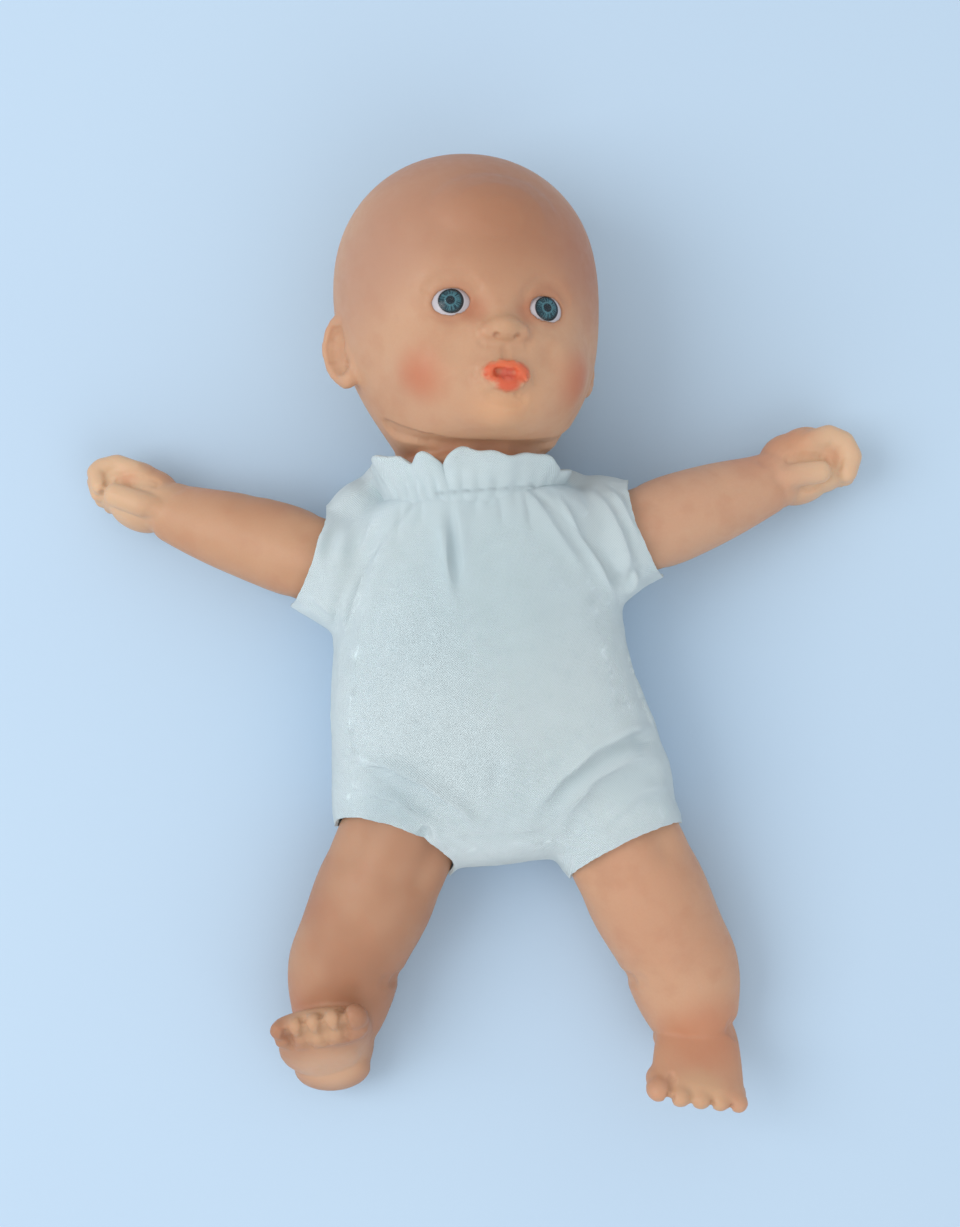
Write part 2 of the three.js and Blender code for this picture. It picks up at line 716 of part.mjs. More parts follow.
// Limb body by places outward: place, sideways shift, height shift, sideways half, height half
function limbSkin(stations, inset, alongX, side, sides) {
  const rings = stations.map(([at, shift, lift, wide, high]) => {
    const ring = [];
    for (let s = 0; s < sides; s += 1) {
      const angle = (s / sides) * Math.PI * 2;
      const u = Math.cos(angle) * (wide - inset);
      const v = lift + Math.sin(angle) * (high - inset);
      ring.push(alongX ? new THREE.Vector3(side * at, shift + u, v) : new THREE.Vector3(side * (shift + u), -at, v));
    }
    return ring;
  });
  return skin(rings);
}

const limbStart = limbGrooveWidth / 2;
const armFace = -limbGrooveWidth / 2 - limbFlangeThickness;
const wristAt = forearmLength;
const armStations = [
  [limbStart, 0, 0, armTieOuter - 0.1, armTieOuter - 0.1],
  [limbStart + 3, 0, 0, armRadius, armRadius],
  [limbStart + 7, 0, 0, armRadius, armRadius * 0.97],
  [forearmLength * 0.5, 0, 0, elbowRadius, elbowRadius],
  [forearmLength * 0.75, 0.4, 0, (elbowRadius + wristRadius) / 2 + 0.5, (elbowRadius + wristRadius) / 2],
  [wristAt, 0.6, 0, wristRadius, wristRadius * 0.95],
  [wristAt + 2, 0.6, 0, wristRadius, wristRadius * 0.95],
  [wristAt + handLength * 0.4, 0.8, 0, 6.8, 6.0],
  [wristAt + handLength * 0.7, 1.6, -0.2, 5.4, 5.9],
  [wristAt + handLength * 0.84, 1.4, -0.2, 3.0, 4.2],
];

function makeArm(label) {
  const { side, matrix } = armMatrix(label);
  const group = armGroups[label];
  const alongLimb = matrix.clone().multiply(new THREE.Matrix4().makeRotationZ((-side * Math.PI) / 2));
  const root = toSolid(spun(rootProfile(armGrooveRadius, armTieOuter - 0.2, armTieOuter - 0.1, 1.4), limbSides), alongLimb);
  const pieces = [root, toSolid(limbSkin(armStations, 0, true, side, limbSides), matrix)];
  for (let finger = 0; finger < 4; finger += 1) {
    const level = 4.4 - finger * fingerRadius * 1.42;
    const knuckle = wristAt + handLength * (finger === 3 ? 0.56 : 0.62);
    const reach = wristAt + handLength - fingerRadius - (finger === 3 ? 1.2 : 0);
    const line = [[knuckle, 4.2, level], [reach - 1, 3.6, level], [reach, 0.2, level], [reach - 1.2, -3.4, level],
      [knuckle + 1.2, -4.4, level]].map(([x, y, z]) => [side * x, y, z]);
    pieces.push(toSolid(digit(line, fingerRadius), matrix));
  }
  const thumb = [[wristAt + 2.5, -2.6, 3.2], [wristAt + 7, -3.6, 5.2], [wristAt + 11.5, -2.4, 5.6]]
    .map(([x, y, z]) => [side * x, y, z]);
  pieces.push(toSolid(digit(thumb, thumbRadius), matrix));
  const bore = armGrooveRadius - vinylWall;
  const boreTube = [[0, armFace - 2], [bore, armFace - 2], [bore, limbStart + 4], [0, limbStart + 4]];
  const hollow = armStations.slice(0, 6).map((row) => [...row]);
  hollow[0][0] = limbStart + vinylWall;
  const cavity = toSolid(limbSkin(hollow, vinylWall, true, side, smallSides), matrix);
  const arm = joined(pieces).subtract(cavity).subtract(toSolid(spun(boreTube, limbSides), alongLimb));
  place(group, `arm_${label}`, arm.subtract(underFloor), vinyl);
  place(group, `arm_plug_${label}`, plugSolid(bore, armTieOuter - 0.2, armFace, alongLimb, limbSides), plugPlastic);
  place(group, `arm_tie_${label}`, tieSolid(armGrooveRadius, alongLimb, limbSides), nylon);
}

const legFace = armFace;
const kneeAt = thighLength;
const ankleAt = thighLength + shinLength;
const bendSlope = Math.tan(THREE.MathUtils.degToRad(kneeBend));
const legStations = [
  [limbStart, 0, 0, legTieOuter - 0.1, legTieOuter - 0.1],
  [limbStart + 3, 0, 0, thighRadius - 0.3, thighRadius - 0.3],
  [limbStart + 8, 0, 0, thighRadius, thighRadius],
  [kneeAt * 0.72, 0, 0, thighRadius - 0.7, thighRadius - 0.7],
  [kneeAt, -0.4, 0, kneeRadius, kneeRadius],
  [kneeAt + shinLength * 0.3, -bendSlope * shinLength * 0.3, 0, calfRadius, calfRadius],
  [kneeAt + shinLength * 0.7, -bendSlope * shinLength * 0.7, 0, (calfRadius + ankleRadius) / 2 + 0.4, (calfRadius + ankleRadius) / 2],
  [ankleAt, -bendSlope * shinLength, 0, ankleRadius, ankleRadius],
  [ankleAt + 3, -bendSlope * shinLength, 0, ankleRadius - 1, ankleRadius - 1],
];

// The foot by places from heel to toes: place, half width, top and sole, measured from the ankle
const toeStart = footLength - heelLength - 3.4;
const footStations = [
  [-heelLength, 3, -2.6, -soleDepth + 3.4],
  [-heelLength + 1.4, heelHalfWidth * 0.78, 1, -soleDepth + 0.7],
  [-heelLength * 0.4, heelHalfWidth, 4.6, -soleDepth],
  [2, heelHalfWidth + 0.3, 6, -soleDepth],
  [toeStart * 0.5, heelHalfWidth + 0.8, 2.4, -soleDepth + 0.3],
  [toeStart * 0.8, footHalfWidth - 0.4, -1.6, -soleDepth + 0.4],
  [toeStart, footHalfWidth, -3.2, -soleDepth + 0.8],
  [toeStart + 1.6, footHalfWidth - 1.4, -4.6, -soleDepth + 2.2],
];

function footSolids(label, side, matrix) {
  const rings = footStations.map(([at, wide, top, sole]) => {
    const ring = [];
    for (let s = 0; s < limbSides; s += 1) {
      const [u, v] = rounded((s / limbSides) * Math.PI * 2, 2.3);
      ring.push(new THREE.Vector3(u * wide, (top + sole) / 2 + (v * (top - sole)) / 2, at));
    }
    return ring;
  });
  const local = new THREE.Matrix4().makeTranslation(-side * bendSlope * shinLength, -ankleAt, 0);
  local.multiply(new THREE.Matrix4().makeRotationZ(THREE.MathUtils.degToRad(side * (footSkew[label] + kneeBend * 0.5))));
  local.multiply(new THREE.Matrix4().makeRotationX(THREE.MathUtils.degToRad(footLean[label])));
  const world = matrix.clone().multiply(local);
  const solids = [toSolid(skin(rings), world)];
  const radii = [bigToeRadius, toeRadius, toeRadius, toeRadius, toeRadius];
  let across = -footHalfWidth;
  const toePitch = footHalfWidth / (bigToeRadius + toeRadius * 4);
  radii.forEach((radius, toe) => {
    across += radius * toePitch;
    const forward = toeStart + 1.6 - Math.max(toe - 1, 0) * 0.5;
    const lift = -soleDepth + radius + 0.8;
    solids.push(toSolid(blob([side * across, lift, forward], [radius, radius, radius * 1.15], smallSides), world));
    across += radius * toePitch;
  });
  return solids;
}

function makeLeg(label) {
  const side = label === 'left' ? 1 : -1;
  const group = legGroups[label];
  const matrix = group.matrixWorld;
  const alongLimb = matrix.clone().multiply(new THREE.Matrix4().makeRotationZ(Math.PI));
  const root = toSolid(spun(rootProfile(legGrooveRadius, legTieOuter - 0.2, legTieOuter - 0.1, 1.4), limbSides), alongLimb);
  const body = toSolid(limbSkin(legStations, 0, false, side, limbSides), matrix);
  const bore = legGrooveRadius - vinylWall;
  const boreTube = [[0, legFace - 2], [bore, legFace - 2], [bore, limbStart + 4], [0, limbStart + 4]];
  const hollow = legStations.slice(0, 8).map((row) => [...row]);
  hollow[0][0] = limbStart + vinylWall;
  const cavity = toSolid(limbSkin(hollow, vinylWall, false, side, smallSides), matrix);
  const leg = joined([root, body, ...footSolids(label, side, matrix)]).subtract(cavity);
  place(group, `leg_${label}`, leg.subtract(toSolid(spun(boreTube, limbSides), alongLimb)).subtract(underFloor), vinyl);
  place(group, `leg_plug_${label}`, plugSolid(bore, legTieOuter - 0.2, legFace, alongLimb, limbSides), plugPlastic);
  place(group, `leg_tie_${label}`, tieSolid(legGrooveRadius, alongLimb, limbSides), nylon);
}

makeHead();
place(headGroup, 'neck_plug', plugSolid(neckBoreRadius, neckFlangeRadius, neckLow, headMatrix, neckSides), plugPlastic);
place(headGroup, 'neck_tie', tieSolid(neckGrooveRadius, headMatrix, neckSides), nylon);
makeCloth();
makeFilling();
for (const label of ['left', 'right']) {
  makeArm(label);
  makeLeg(label);
}

export default doll;
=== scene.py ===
import json
from contextlib import contextmanager
from math import cos, pi, radians, sin

import bpy
import numpy as np
from mathutils import Matrix, Vector


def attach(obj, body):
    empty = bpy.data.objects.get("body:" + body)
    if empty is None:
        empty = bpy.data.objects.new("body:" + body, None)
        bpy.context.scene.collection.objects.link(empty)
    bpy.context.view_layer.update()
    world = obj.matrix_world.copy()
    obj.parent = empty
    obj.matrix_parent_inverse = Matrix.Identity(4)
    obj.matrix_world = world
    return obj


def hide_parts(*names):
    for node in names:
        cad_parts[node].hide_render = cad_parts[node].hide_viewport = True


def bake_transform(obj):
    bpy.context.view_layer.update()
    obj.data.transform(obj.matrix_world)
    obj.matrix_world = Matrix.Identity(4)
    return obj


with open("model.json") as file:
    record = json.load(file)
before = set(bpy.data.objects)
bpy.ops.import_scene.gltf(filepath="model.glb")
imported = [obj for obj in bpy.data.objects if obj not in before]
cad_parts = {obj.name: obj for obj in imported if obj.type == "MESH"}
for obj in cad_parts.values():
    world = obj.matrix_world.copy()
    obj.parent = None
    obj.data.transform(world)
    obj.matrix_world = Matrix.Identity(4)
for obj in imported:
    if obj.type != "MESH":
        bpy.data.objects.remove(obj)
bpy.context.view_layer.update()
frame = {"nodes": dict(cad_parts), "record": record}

MM = 0.001
SIDES = {"left": 1, "right": -1}
# Turns a piece that is drawn out along +Z so that it runs along +Y
Z_ALONG_Y = Matrix(((1, 0, 0, 0), (0, 0, 1, 0), (0, 1, 0, 0), (0, 0, 0, 1)))

# Places and turns of the doll's main parts, in millimetres and degrees, as in the frame
NECK = Vector((-1.8, 24.2, 25.9))
SKULL_MIDDLE = Vector((0, 40, 11))
HEAD_TURN = (-9.4, 15.9, -2.0)
ARM_PIVOT = {"left": Vector((34.6, 14.4, 19)), "right": Vector((-34.6, 14.4, 19))}
ARM_TURN = {"left": (0, 12, 14.5), "right": (-22, -12, -25)}
LEG_PIVOT = {"left": Vector((25.6, -52.6, 17.2)), "right": Vector((-23.5, -48.4, 17.2))}
LEG_TURN = {"left": (9, 0, 21), "right": (11, 0, -28)}


def turned(axis, degrees):
    return Matrix.Rotation(radians(degrees), 4, axis)


def head_place():
    pitch, yaw, roll = HEAD_TURN
    turn = turned("Z", roll) @ turned("X", pitch) @ turned("Y", yaw)
    return Matrix.Translation(NECK * MM) @ turn @ Matrix.Translation(SKULL_MIDDLE * MM)


def upward(matrix, along):
    """The way up in a limb's own frame, square to the axis that it runs along"""
    way = matrix.to_3x3().inverted() @ Vector((0, 0, 1))
    way[along] = 0
    return way.normalized()


def arm_place(side):
    roll, pitch, swing = ARM_TURN[side]
    turn = turned("Z", swing) @ turned("Y", pitch) @ turned("X", roll)
    return Matrix.Translation(ARM_PIVOT[side] * MM) @ turn


def leg_place(side):
    pitch, _, splay = LEG_TURN[side]
    turn = turned("Z", splay) @ turned("X", pitch)
    return Matrix.Translation(LEG_PIVOT[side] * MM) @ turn


# Selecting and shaping, as by hand
def nothing_selected():
    if bpy.context.object and bpy.context.object.mode != "OBJECT":
        bpy.ops.object.mode_set(mode="OBJECT")
    bpy.ops.object.select_all(action="DESELECT")


def only(piece):
    nothing_selected()
    piece.select_set(True)
    bpy.context.view_layer.objects.active = piece
    return piece


def choose(piece, points, faces):
    """Selects only these points or faces of the mesh"""
    mesh = piece.data
    for parts, chosen in ((mesh.polygons, faces), (mesh.edges, None), (mesh.vertices, points)):
        parts.foreach_set("select", np.zeros(len(parts), bool) if chosen is None else chosen)


@contextmanager
def edited(piece, points=None, faces=None):
    """Edit mode, with some points or faces chosen or else all, and object mode again afterwards"""
    only(piece)
    choose(piece, points, faces)
    bpy.ops.object.mode_set(mode="EDIT")
    if points is None and faces is None:
        bpy.ops.mesh.select_all(action="SELECT")
    yield
    bpy.ops.object.mode_set(mode="OBJECT")


def ball(place, halves, turn=(0, 0, 0), sides=24):
    nothing_selected()
    bpy.ops.mesh.primitive_uv_sphere_add(
        segments=sides, ring_count=sides // 2, radius=MM, location=Vector(place) * MM,
        rotation=[radians(angle) for angle in turn], scale=halves)
    return bpy.context.object


def bar(start, end, thick, thin=None, sides=24):
    start, end = Vector(start), Vector(end)
    along = end - start
    nothing_selected()
    bpy.ops.mesh.primitive_cone_add(
        vertices=sides, radius1=thick * MM, radius2=(thin if thin is not None else thick) * MM,
        depth=along.length * MM, location=(start + end) / 2 * MM,
        rotation=along.to_track_quat("Z", "Y").to_euler())
    return bpy.context.object


def finger(points, thick, thin):
    """A chain of balls and bars that follows the points"""
    count = len(points)
    sizes = [thick + (thin - thick) * step / (count - 1) for step in range(count)]
    pieces = [ball(point, (size,) * 3, sides=16) for point, size in zip(points, sizes)]
    for step in range(count - 1):
        pieces.append(bar(points[step], points[step + 1], sizes[step], sizes[step + 1], 16))
    return pieces


def drawn_out(rows, placing, sides=40):
    """A disc drawn out through its rows: along, shift u, shift v, half u, half v. It runs along local Z."""
    along, shift_u, shift_v, half_u, half_v = rows[0]
    middle = Vector((shift_u, shift_v, along)) * MM
    nothing_selected()
    bpy.ops.mesh.primitive_circle_add(vertices=sides, radius=MM, fill_type="NGON", location=middle)
    piece = bpy.context.object
    bpy.ops.object.transform_apply(location=True, rotation=True, scale=True)
    with edited(piece):
        bpy.ops.transform.resize(value=(half_u, half_v, 1), center_override=middle)
        for before, now in zip(rows, rows[1:]):
            step = Vector((now[1] - before[1], now[2] - before[2], now[0] - before[0])) * MM
            bpy.ops.mesh.extrude_region_move(TRANSFORM_OT_translate={"value": step})
            middle = Vector((now[1], now[2], now[0])) * MM
            bpy.ops.transform.resize(
                value=(now[3] / before[3], now[4] / before[4], 1), center_override=middle)
        bpy.ops.mesh.select_all(action="SELECT")
        bpy.ops.mesh.normals_make_consistent(inside=False)
    finish_with(piece, "SUBSURF", levels=2, render_levels=2)
    piece.matrix_world = placing
    return piece


def finish_with(piece, kind, **settings):
    only(piece)
    modifier = piece.modifiers.new(kind.lower(), kind)
    for name, value in settings.items():
        setattr(modifier, name, value)
    bpy.ops.object.modifier_apply(modifier=modifier.name)


def joined(name, pieces):
    nothing_selected()
    for piece in pieces:
        piece.select_set(True)
    bpy.context.view_layer.objects.active = pieces[0]
    bpy.ops.object.join()
    piece = bpy.context.object
    piece.name = name
    piece.data.name = name
    bpy.ops.object.transform_apply(location=True, rotation=True, scale=True)
    return piece


def melted(piece, voxel, rounds):
    """One skin over all that was joined, then softened"""
    finish_with(piece, "REMESH", mode="VOXEL", voxel_size=voxel * MM, use_smooth_shade=True)
    finish_with(piece, "SMOOTH", factor=0.5, iterations=rounds)
    return piece


def spots_of(piece):
    """Where every point of the mesh is, in millimetres"""
    places = np.empty(len(piece.data.vertices) * 3)
    piece.data.vertices.foreach_get("co", places)
    return places.reshape(-1, 3) / MM


def moved_to(piece, places):
    piece.data.vertices.foreach_set("co", (places * MM).ravel())
    piece.data.update()


def outward_of(piece):
    normals = np.empty(len(piece.data.vertices) * 3)
    piece.data.vertex_normals.foreach_get("vector", normals)
    return normals.reshape(-1, 3)


def from_line(places, line):
    """How far every place is from a line of points, and how far along the line it is, from 0 to 1"""
    line = np.asarray(line, float)
    lengths = np.linalg.norm(np.diff(line, axis=0), axis=1)
    total = max(lengths.sum(), 1e-9)
    best = np.full(len(places), 1e9)
    along = np.zeros(len(places))
    walked = 0.0
    for start, end, length in zip(line, line[1:], lengths):
        step = end - start
        share = np.clip(((places - start) @ step) / max(length**2, 1e-12), 0, 1)
        distance = np.linalg.norm(places - (start + share[:, None] * step), axis=1)
        nearer = distance < best
        best[nearer] = distance[nearer]
        along[nearer] = (walked + share[nearer] * length) / total
        walked += length
    return best, along


def near(piece, points, within):
    """The points of the mesh near a place or a line, and at least the nearest one"""
    places = spots_of(piece)
    points = np.atleast_2d(np.asarray(points, float))
    if len(points) == 1:
        distance = np.linalg.norm(places - points[0], axis=1)
    else:
        distance = from_line(places, points)[0]
    chosen = distance < within
    if not chosen.any():
        chosen[distance.argmin()] = True
    return chosen


def swell(piece, points, height, reach, within=0.5):
    """Raises the skin along its own normal at a place or along a line; a negative height presses it in"""
    press(piece, near(piece, points, within), height, reach)


def press(piece, chosen, height, reach):
    with edited(piece, chosen):
        bpy.ops.transform.shrink_fatten(
            value=height * MM, use_proportional_edit=True, proportional_edit_falloff="SMOOTH",
            proportional_size=reach * MM)


def on_top(piece, line, radius=0.7):
    """The same line laid on the side of the mesh that faces local +Z"""
    places = spots_of(piece)
    laid = []
    for x, y in line:
        close = places[np.hypot(places[:, 0] - x, places[:, 1] - y) < radius]
        laid.append((x, y, close[:, 2].max() if len(close) else 0.0))
    return laid


def through(at, line):
    """A line of places, each given in a part's own terms"""
    return [at(*place) for place in line]


def relaxed(piece, chosen, rounds):
    """Evens out a part of a piece"""
    with edited(piece, chosen):
        bpy.ops.mesh.vertices_smooth(factor=0.5, repeat=rounds)


def rested(piece, level=0.1):
    """Flattens a piece a little where it lies on the floor, at a level in millimetres"""
    places = spots_of(piece)
    places[:, 2] = np.maximum(places[:, 2], level)
    moved_to(piece, places)
    return piece


def placed(piece, matrix):
    """Puts the finished mesh in its place, with the object at the origin"""
    only(piece)
    piece.matrix_world = matrix
    bpy.ops.object.transform_apply(location=True, rotation=True, scale=True)
    return piece


# Materials
MIX_UNDER, MIX_OVER, MIX_RESULT = 6, 7, 2
THREAD_PITCH = 0.00052


def tint(red, green, blue):
    """A colour as it is seen, 0 to 255, in the renderer's own values"""
    values = [part / 255 for part in (red, green, blue)]
    return tuple(v / 12.92 if v <= 0.04045 else ((v + 0.055) / 1.055) ** 2.4 for v in values) + (1.0,)


def given(node, values):
    for name, value in values.items():
        node.inputs[name].default_value = value


class Finish:
    """A node material that is built up in layers"""

    def __init__(self, name, colour, roughness):
        self.material = bpy.data.materials.new(name)
        self.material.use_nodes = True
        self.nodes = self.material.node_tree.nodes
        self.links = self.material.node_tree.links
        self.shader = self.nodes["Principled BSDF"]
        given(self.shader, {"Base Color": colour, "Roughness": roughness})
        self.where = self.nodes.new("ShaderNodeTexCoord").outputs["Object"]
        start = self.nodes.new("ShaderNodeRGB")
        start.outputs[0].default_value = colour
        self.colour = start.outputs[0]
        self.height = None

    def add(self, kind, *inputs, **settings):
        """A node with its settings, and its first inputs linked or set"""
        node = self.nodes.new(kind)
        for name, value in settings.items():
            setattr(node, name, value)
        for socket, value in zip(node.inputs, inputs):
            if isinstance(value, bpy.types.NodeSocket):
                self.links.new(value, socket)
            else:
                socket.default_value = value
        return node

    def math(self, operation, *values):
        return self.add("ShaderNodeMath", *values, operation=operation).outputs[0]

    def vector(self, operation, *values):
        return self.add("ShaderNodeVectorMath", *values, operation=operation)

    def total(self, one, two, three):
        return self.math("ADD", self.math("ADD", one, two), three)

    def ranged(self, value, low, high, to_low=0.0, to_high=1.0, kind="SMOOTHSTEP"):
        node = self.add(
            "ShaderNodeMapRange", value, low, high, to_low, to_high, interpolation_type=kind, clamp=True)
        return node.outputs["Result"]

    def mixed(self, share, colour, strength=None):
        """Lays a colour over those before it, as far as the share goes"""
        if strength is not None:
            share = self.math("MULTIPLY", share, strength)
        node = self.add("ShaderNodeMix", share, data_type="RGBA")
        self.links.new(self.colour, node.inputs[MIX_UNDER])
        node.inputs[MIX_OVER].default_value = colour
        self.colour = node.outputs[MIX_RESULT]

    def grain(self, scale, detail, where=None):
        node = self.add("ShaderNodeTexNoise", where or self.where)
        given(node, {"Scale": scale, "Detail": detail})
        return node.outputs["Fac"]

    def spot(self, place, inner, outer, colour, strength, ragged=0.0):
        """Soft colour round a place, whole inside the inner distance and gone past the outer one, in mm. It
        lays real paint, and painted shade and painted light as well
        """
        distance = self.vector("DISTANCE", self.where, place).outputs["Value"]
        if ragged:
            wander = self.math("MULTIPLY", self.math("SUBTRACT", self.grain(900.0, 3.0), 0.5), ragged * MM)
            distance = self.math("ADD", distance, wander)
        self.mixed(self.ranged(distance, inner * MM, outer * MM, strength, 0.0), tint(*colour))

    def spots(self, at, rows):
        """A spot for each row, with its place given in a part's own frame"""
        for place, *paint in rows:
            self.spot(at(*place), *paint)

    def raised(self, height, strength, distance):
        """Adds a bump, in metres, on top of those before it"""
        node = self.add("ShaderNodeBump")
        given(node, {"Strength": strength, "Distance": distance})
        self.links.new(height, node.inputs["Height"])
        if self.height is not None:
            self.links.new(self.height, node.inputs["Normal"])
        self.height = node.outputs["Normal"]

    def done(self):
        self.links.new(self.colour, self.shader.inputs["Base Color"])
        if self.height is not None:
            self.links.new(self.height, self.shader.inputs["Normal"])
        return self.material


def vinyl(name, base):
    """Soft moulded vinyl: a warm colour from inside, slight mottling and a fine matte grain"""
    finish = Finish(name, base, 0.5)
    given(finish.shader, {
        "Subsurface Weight": 0.22, "Subsurface Radius": (1.0, 0.42, 0.24), "Subsurface Scale": 0.0022,
        "IOR": 1.42})
    finish.mixed(finish.ranged(finish.grain(45.0, 2.0), 0.35, 0.65), SKIN_LIGHT, 0.35)
    finish.mixed(finish.ranged(finish.grain(160.0, 3.0), 0.45, 0.7), SKIN_DEEP, 0.22)
    speckled = finish.ranged(finish.grain(1900.0, 2.0), 0.3, 0.7, -0.03, 0.05, "LINEAR")
    finish.mixed(finish.math("ADD", speckled, 0.02), SKIN_DEEP)
    rough = finish.ranged(finish.grain(500.0, 3.0), 0.3, 0.7, 0.46, 0.58, "LINEAR")
    finish.links.new(rough, finish.shader.inputs["Roughness"])
    finish.raised(finish.grain(2600.0, 2.0), 0.12, 0.00006)
    finish.raised(finish.grain(300.0, 3.0), 0.1, 0.0002)
    return finish


def weave(name, colour, gap_shade_and_slubs):
    """Plain woven cotton: threads half a millimetre apart that follow the way the cloth faces, with painted
    shade in the gaps between them
    """
    finish = Finish(name, colour, 0.92)
    given(finish.shader, {
        "Sheen Weight": 0.25, "Sheen Roughness": 0.5, "Subsurface Weight": 0.12,
        "Subsurface Radius": (1.0, 1.0, 1.0), "Subsurface Scale": 0.0012})
    wander = finish.add("ShaderNodeTexNoise", finish.where)
    given(wander, {"Scale": 220.0})
    drift = finish.vector("SCALE", wander.outputs["Color"])
    given(drift, {"Scale": 0.0005})
    moved = finish.vector("ADD", finish.where, drift.outputs[0]).outputs[0]
    cells = finish.add("ShaderNodeSeparateXYZ", moved).outputs
    facing = finish.add("ShaderNodeSeparateXYZ", finish.add("ShaderNodeTexCoord").outputs["Normal"]).outputs
    waves = [finish.math("SINE", finish.math("MULTIPLY", cell, 2 * pi / THREAD_PITCH)) for cell in cells]
    share = [finish.math("POWER", finish.math("ABSOLUTE", part), 40.0) for part in facing]
    size = finish.math("SQRT", finish.total(*[finish.math("MULTIPLY", part, part) for part in share]))
    layers = []
    for axis, (one, other) in enumerate(((1, 2), (0, 2), (0, 1))):
        crossed = finish.math("MULTIPLY", waves[one], waves[other])
        layers.append(finish.math("MULTIPLY", crossed, share[axis]))
    threads = finish.math("DIVIDE", finish.total(*layers), size)
    # Painted shade in the gaps between the threads
    finish.mixed(finish.ranged(threads, -1.0, 0.2, 0.5, 0.0), gap_shade_and_slubs)
    # Slubs and uneven tone of the cotton, in the same colour
    finish.mixed(finish.ranged(finish.grain(420.0, 3.0), 0.5, 0.75), gap_shade_and_slubs, 0.12)
    finish.mixed(finish.ranged(finish.grain(38.0, 2.0), 0.42, 0.68), gap_shade_and_slubs, 0.14)
    finish.raised(threads, 1.0, 0.00018)
    finish.raised(finish.grain(1500.0, 4.0), 0.25, 0.00012)
    finish.raised(finish.grain(150.0, 3.0), 0.35, 0.0006)
    return finish


def plain(name, colour, roughness):
    """A material of one colour, a little worn and uneven"""
    finish = Finish(name, colour, roughness)
    worn = tuple(part * 0.85 for part in colour[:3]) + (1.0,)
    finish.mixed(finish.ranged(finish.grain(700.0, 3.0), 0.4, 0.7), worn, 0.15)
    finish.raised(finish.grain(2400.0, 2.0), 0.15, 0.00005)
    return finish.done()


def painted(piece, material):
    piece.data.materials.clear()
    piece.data.materials.append(material)


# Head. Its rows run from the neck to the crown: up, half width, front and back, from the skull's middle
SKULL = [
    (-33.2, 10.0, 6.0, -22.0), (-32.4, 14.4, 14.0, -24.0), (-30.6, 16.8, 20.0, -24.6),
    (-27.2, 19.3, 22.8, -24.8), (-21.5, 23.1, 24.2, -25.6), (-14.0, 26.0, 24.6, -27.4),
    (-6.0, 27.5, 25.0, -28.8), (3.0, 28.0, 26.4, -29.8), (12.7, 26.6, 25.2, -28.6), (21.0, 22.0, 20.0, -24.2),
    (26.6, 15.6, 13.2, -18.0), (29.6, 8.8, 6.0, -10.6), (30.8, 3.0, -0.5, -4.5),
]
# The neck's stem, in three steps that overlap: start, end and radius of each
NECK_STEM = ((-41.7, -26, 14.0), (-44.1, -38, 12.6), (-44.1, -41.9, 13.9))
NECK_BACK = -11
# Neck, forehead, chin, bridge and tip of the nose: the middle and half sizes of each
LUMPS = [
    ((0.8, -35.8, -7.6), (15.9, 4.6, 17.0)), ((0, 9.0, 8.5), (19, 14, 18.6)),
    ((0, -22.6, 19.4), (7.4, 5.4, 6.2)), ((0, -11.2, 22.0), (2.6, 3.8, 3.2)),
    ((0, -13.8, 24.4), (3.9, 2.6, 3.1)),
]
EYE_OUT = 9.75
EYE_LEVEL = -8.35
EYE_FRONT = 22.2
EYE_SPLAY = 12
EYE_OPENING = (3.2, 2.25)
IRIS_MIDDLE = -0.3
IRIS_RADIUS = 2.7
FACE_TILT = 0.05
EAR_LEAN = 22
EAR_MIDDLE = {-1: Vector((-26.0, -11.5, -2.6)), 1: Vector((25.0, -12.5, -2.6))}
BOTH = (-1, 1)
MIDDLE = (1,)
# Forms of the face, each with a line on it, a height and a reach, and how near the line points move whole
SOFT_FORMS = [
    ([(15.0, -20.5)], 1.5, 11.0), ([(10.0, -7.4)], -1.1, 8.0), ([(5.2, -9.4)], -1.1, 4.6),
    ([(13.0, -1.6)], 0.3, 7.0), ([(9.4, -18.6)], -0.4, 4.0),
]
UPPER_LIP = [
    (-4.4, -23.2), (-2.6, -21.8), (-1.3, -21.3), (0, -21.8), (1.3, -21.3), (2.6, -21.8), (4.4, -23.2)]
LOWER_LIP = [(-3.9, -24.2), (-2.2, -25.2), (0, -25.6), (2.2, -25.2), (3.9, -24.2)]
FINE_FORMS = [
    (BOTH, [([(2.3, -16.1)], -0.5, 0.8), ([(5.5, -13.2), (6.0, -14.8), (5.2, -16.4)], -0.25, 1.2)]),
    (MIDDLE, [
        ([(-4.4, -17.0), (0, -17.3), (4.4, -17.0)], -0.25, 1.3), ([(0, -18.0), (0, -20.0)], -0.25, 1.0),
        (UPPER_LIP, 0.6, 1.1), (LOWER_LIP, 0.75, 1.3),
        ([(-2.0, -23.0), (0, -23.2), (2.0, -23.0)], -1.3, 1.1, 0.4),
        ([(-0.6, -23.6), (0.6, -23.6)], 0.35, 0.9)]),
    (BOTH, [([(4.9, -23.5)], -0.7, 1.0), ([(6.1, -22.6), (6.3, -23.8)], -0.2, 1.0)]),
    (MIDDLE, [([(-2.6, -26.9), (0, -27.1), (2.6, -26.9)], -0.3, 0.8)]),
]
CHIN_FORMS = [([(0.4, -30.4)], 0.9, 7.0), ([(-3.4, -27.4), (0, -27.8), (3.4, -27.4)], -0.45, 2.0)]
CHIN_CREASE = [
    (-18.0, -28.0, -1.0), (-16.0, -30.6, 3.0), (-11.0, -32.4, 6.4), (-5.0, -33.4, 7.4), (0, -33.6, 7.6),
    (5.0, -33.4, 7.4), (11.0, -32.4, 6.4), (17.0, -30.6, 3.0), (19.0, -28.0, -1.0),
]


def on_face(head, line):
    """A line laid on the face, which hangs a little to one side"""
    return on_top(head, [(x, y - FACE_TILT * x) for x, y in line])


def shape_face(head, rows, side=1):
    for line, *how in rows:
        swell(head, on_face(head, [(side * x, y) for x, y in line]), *how)


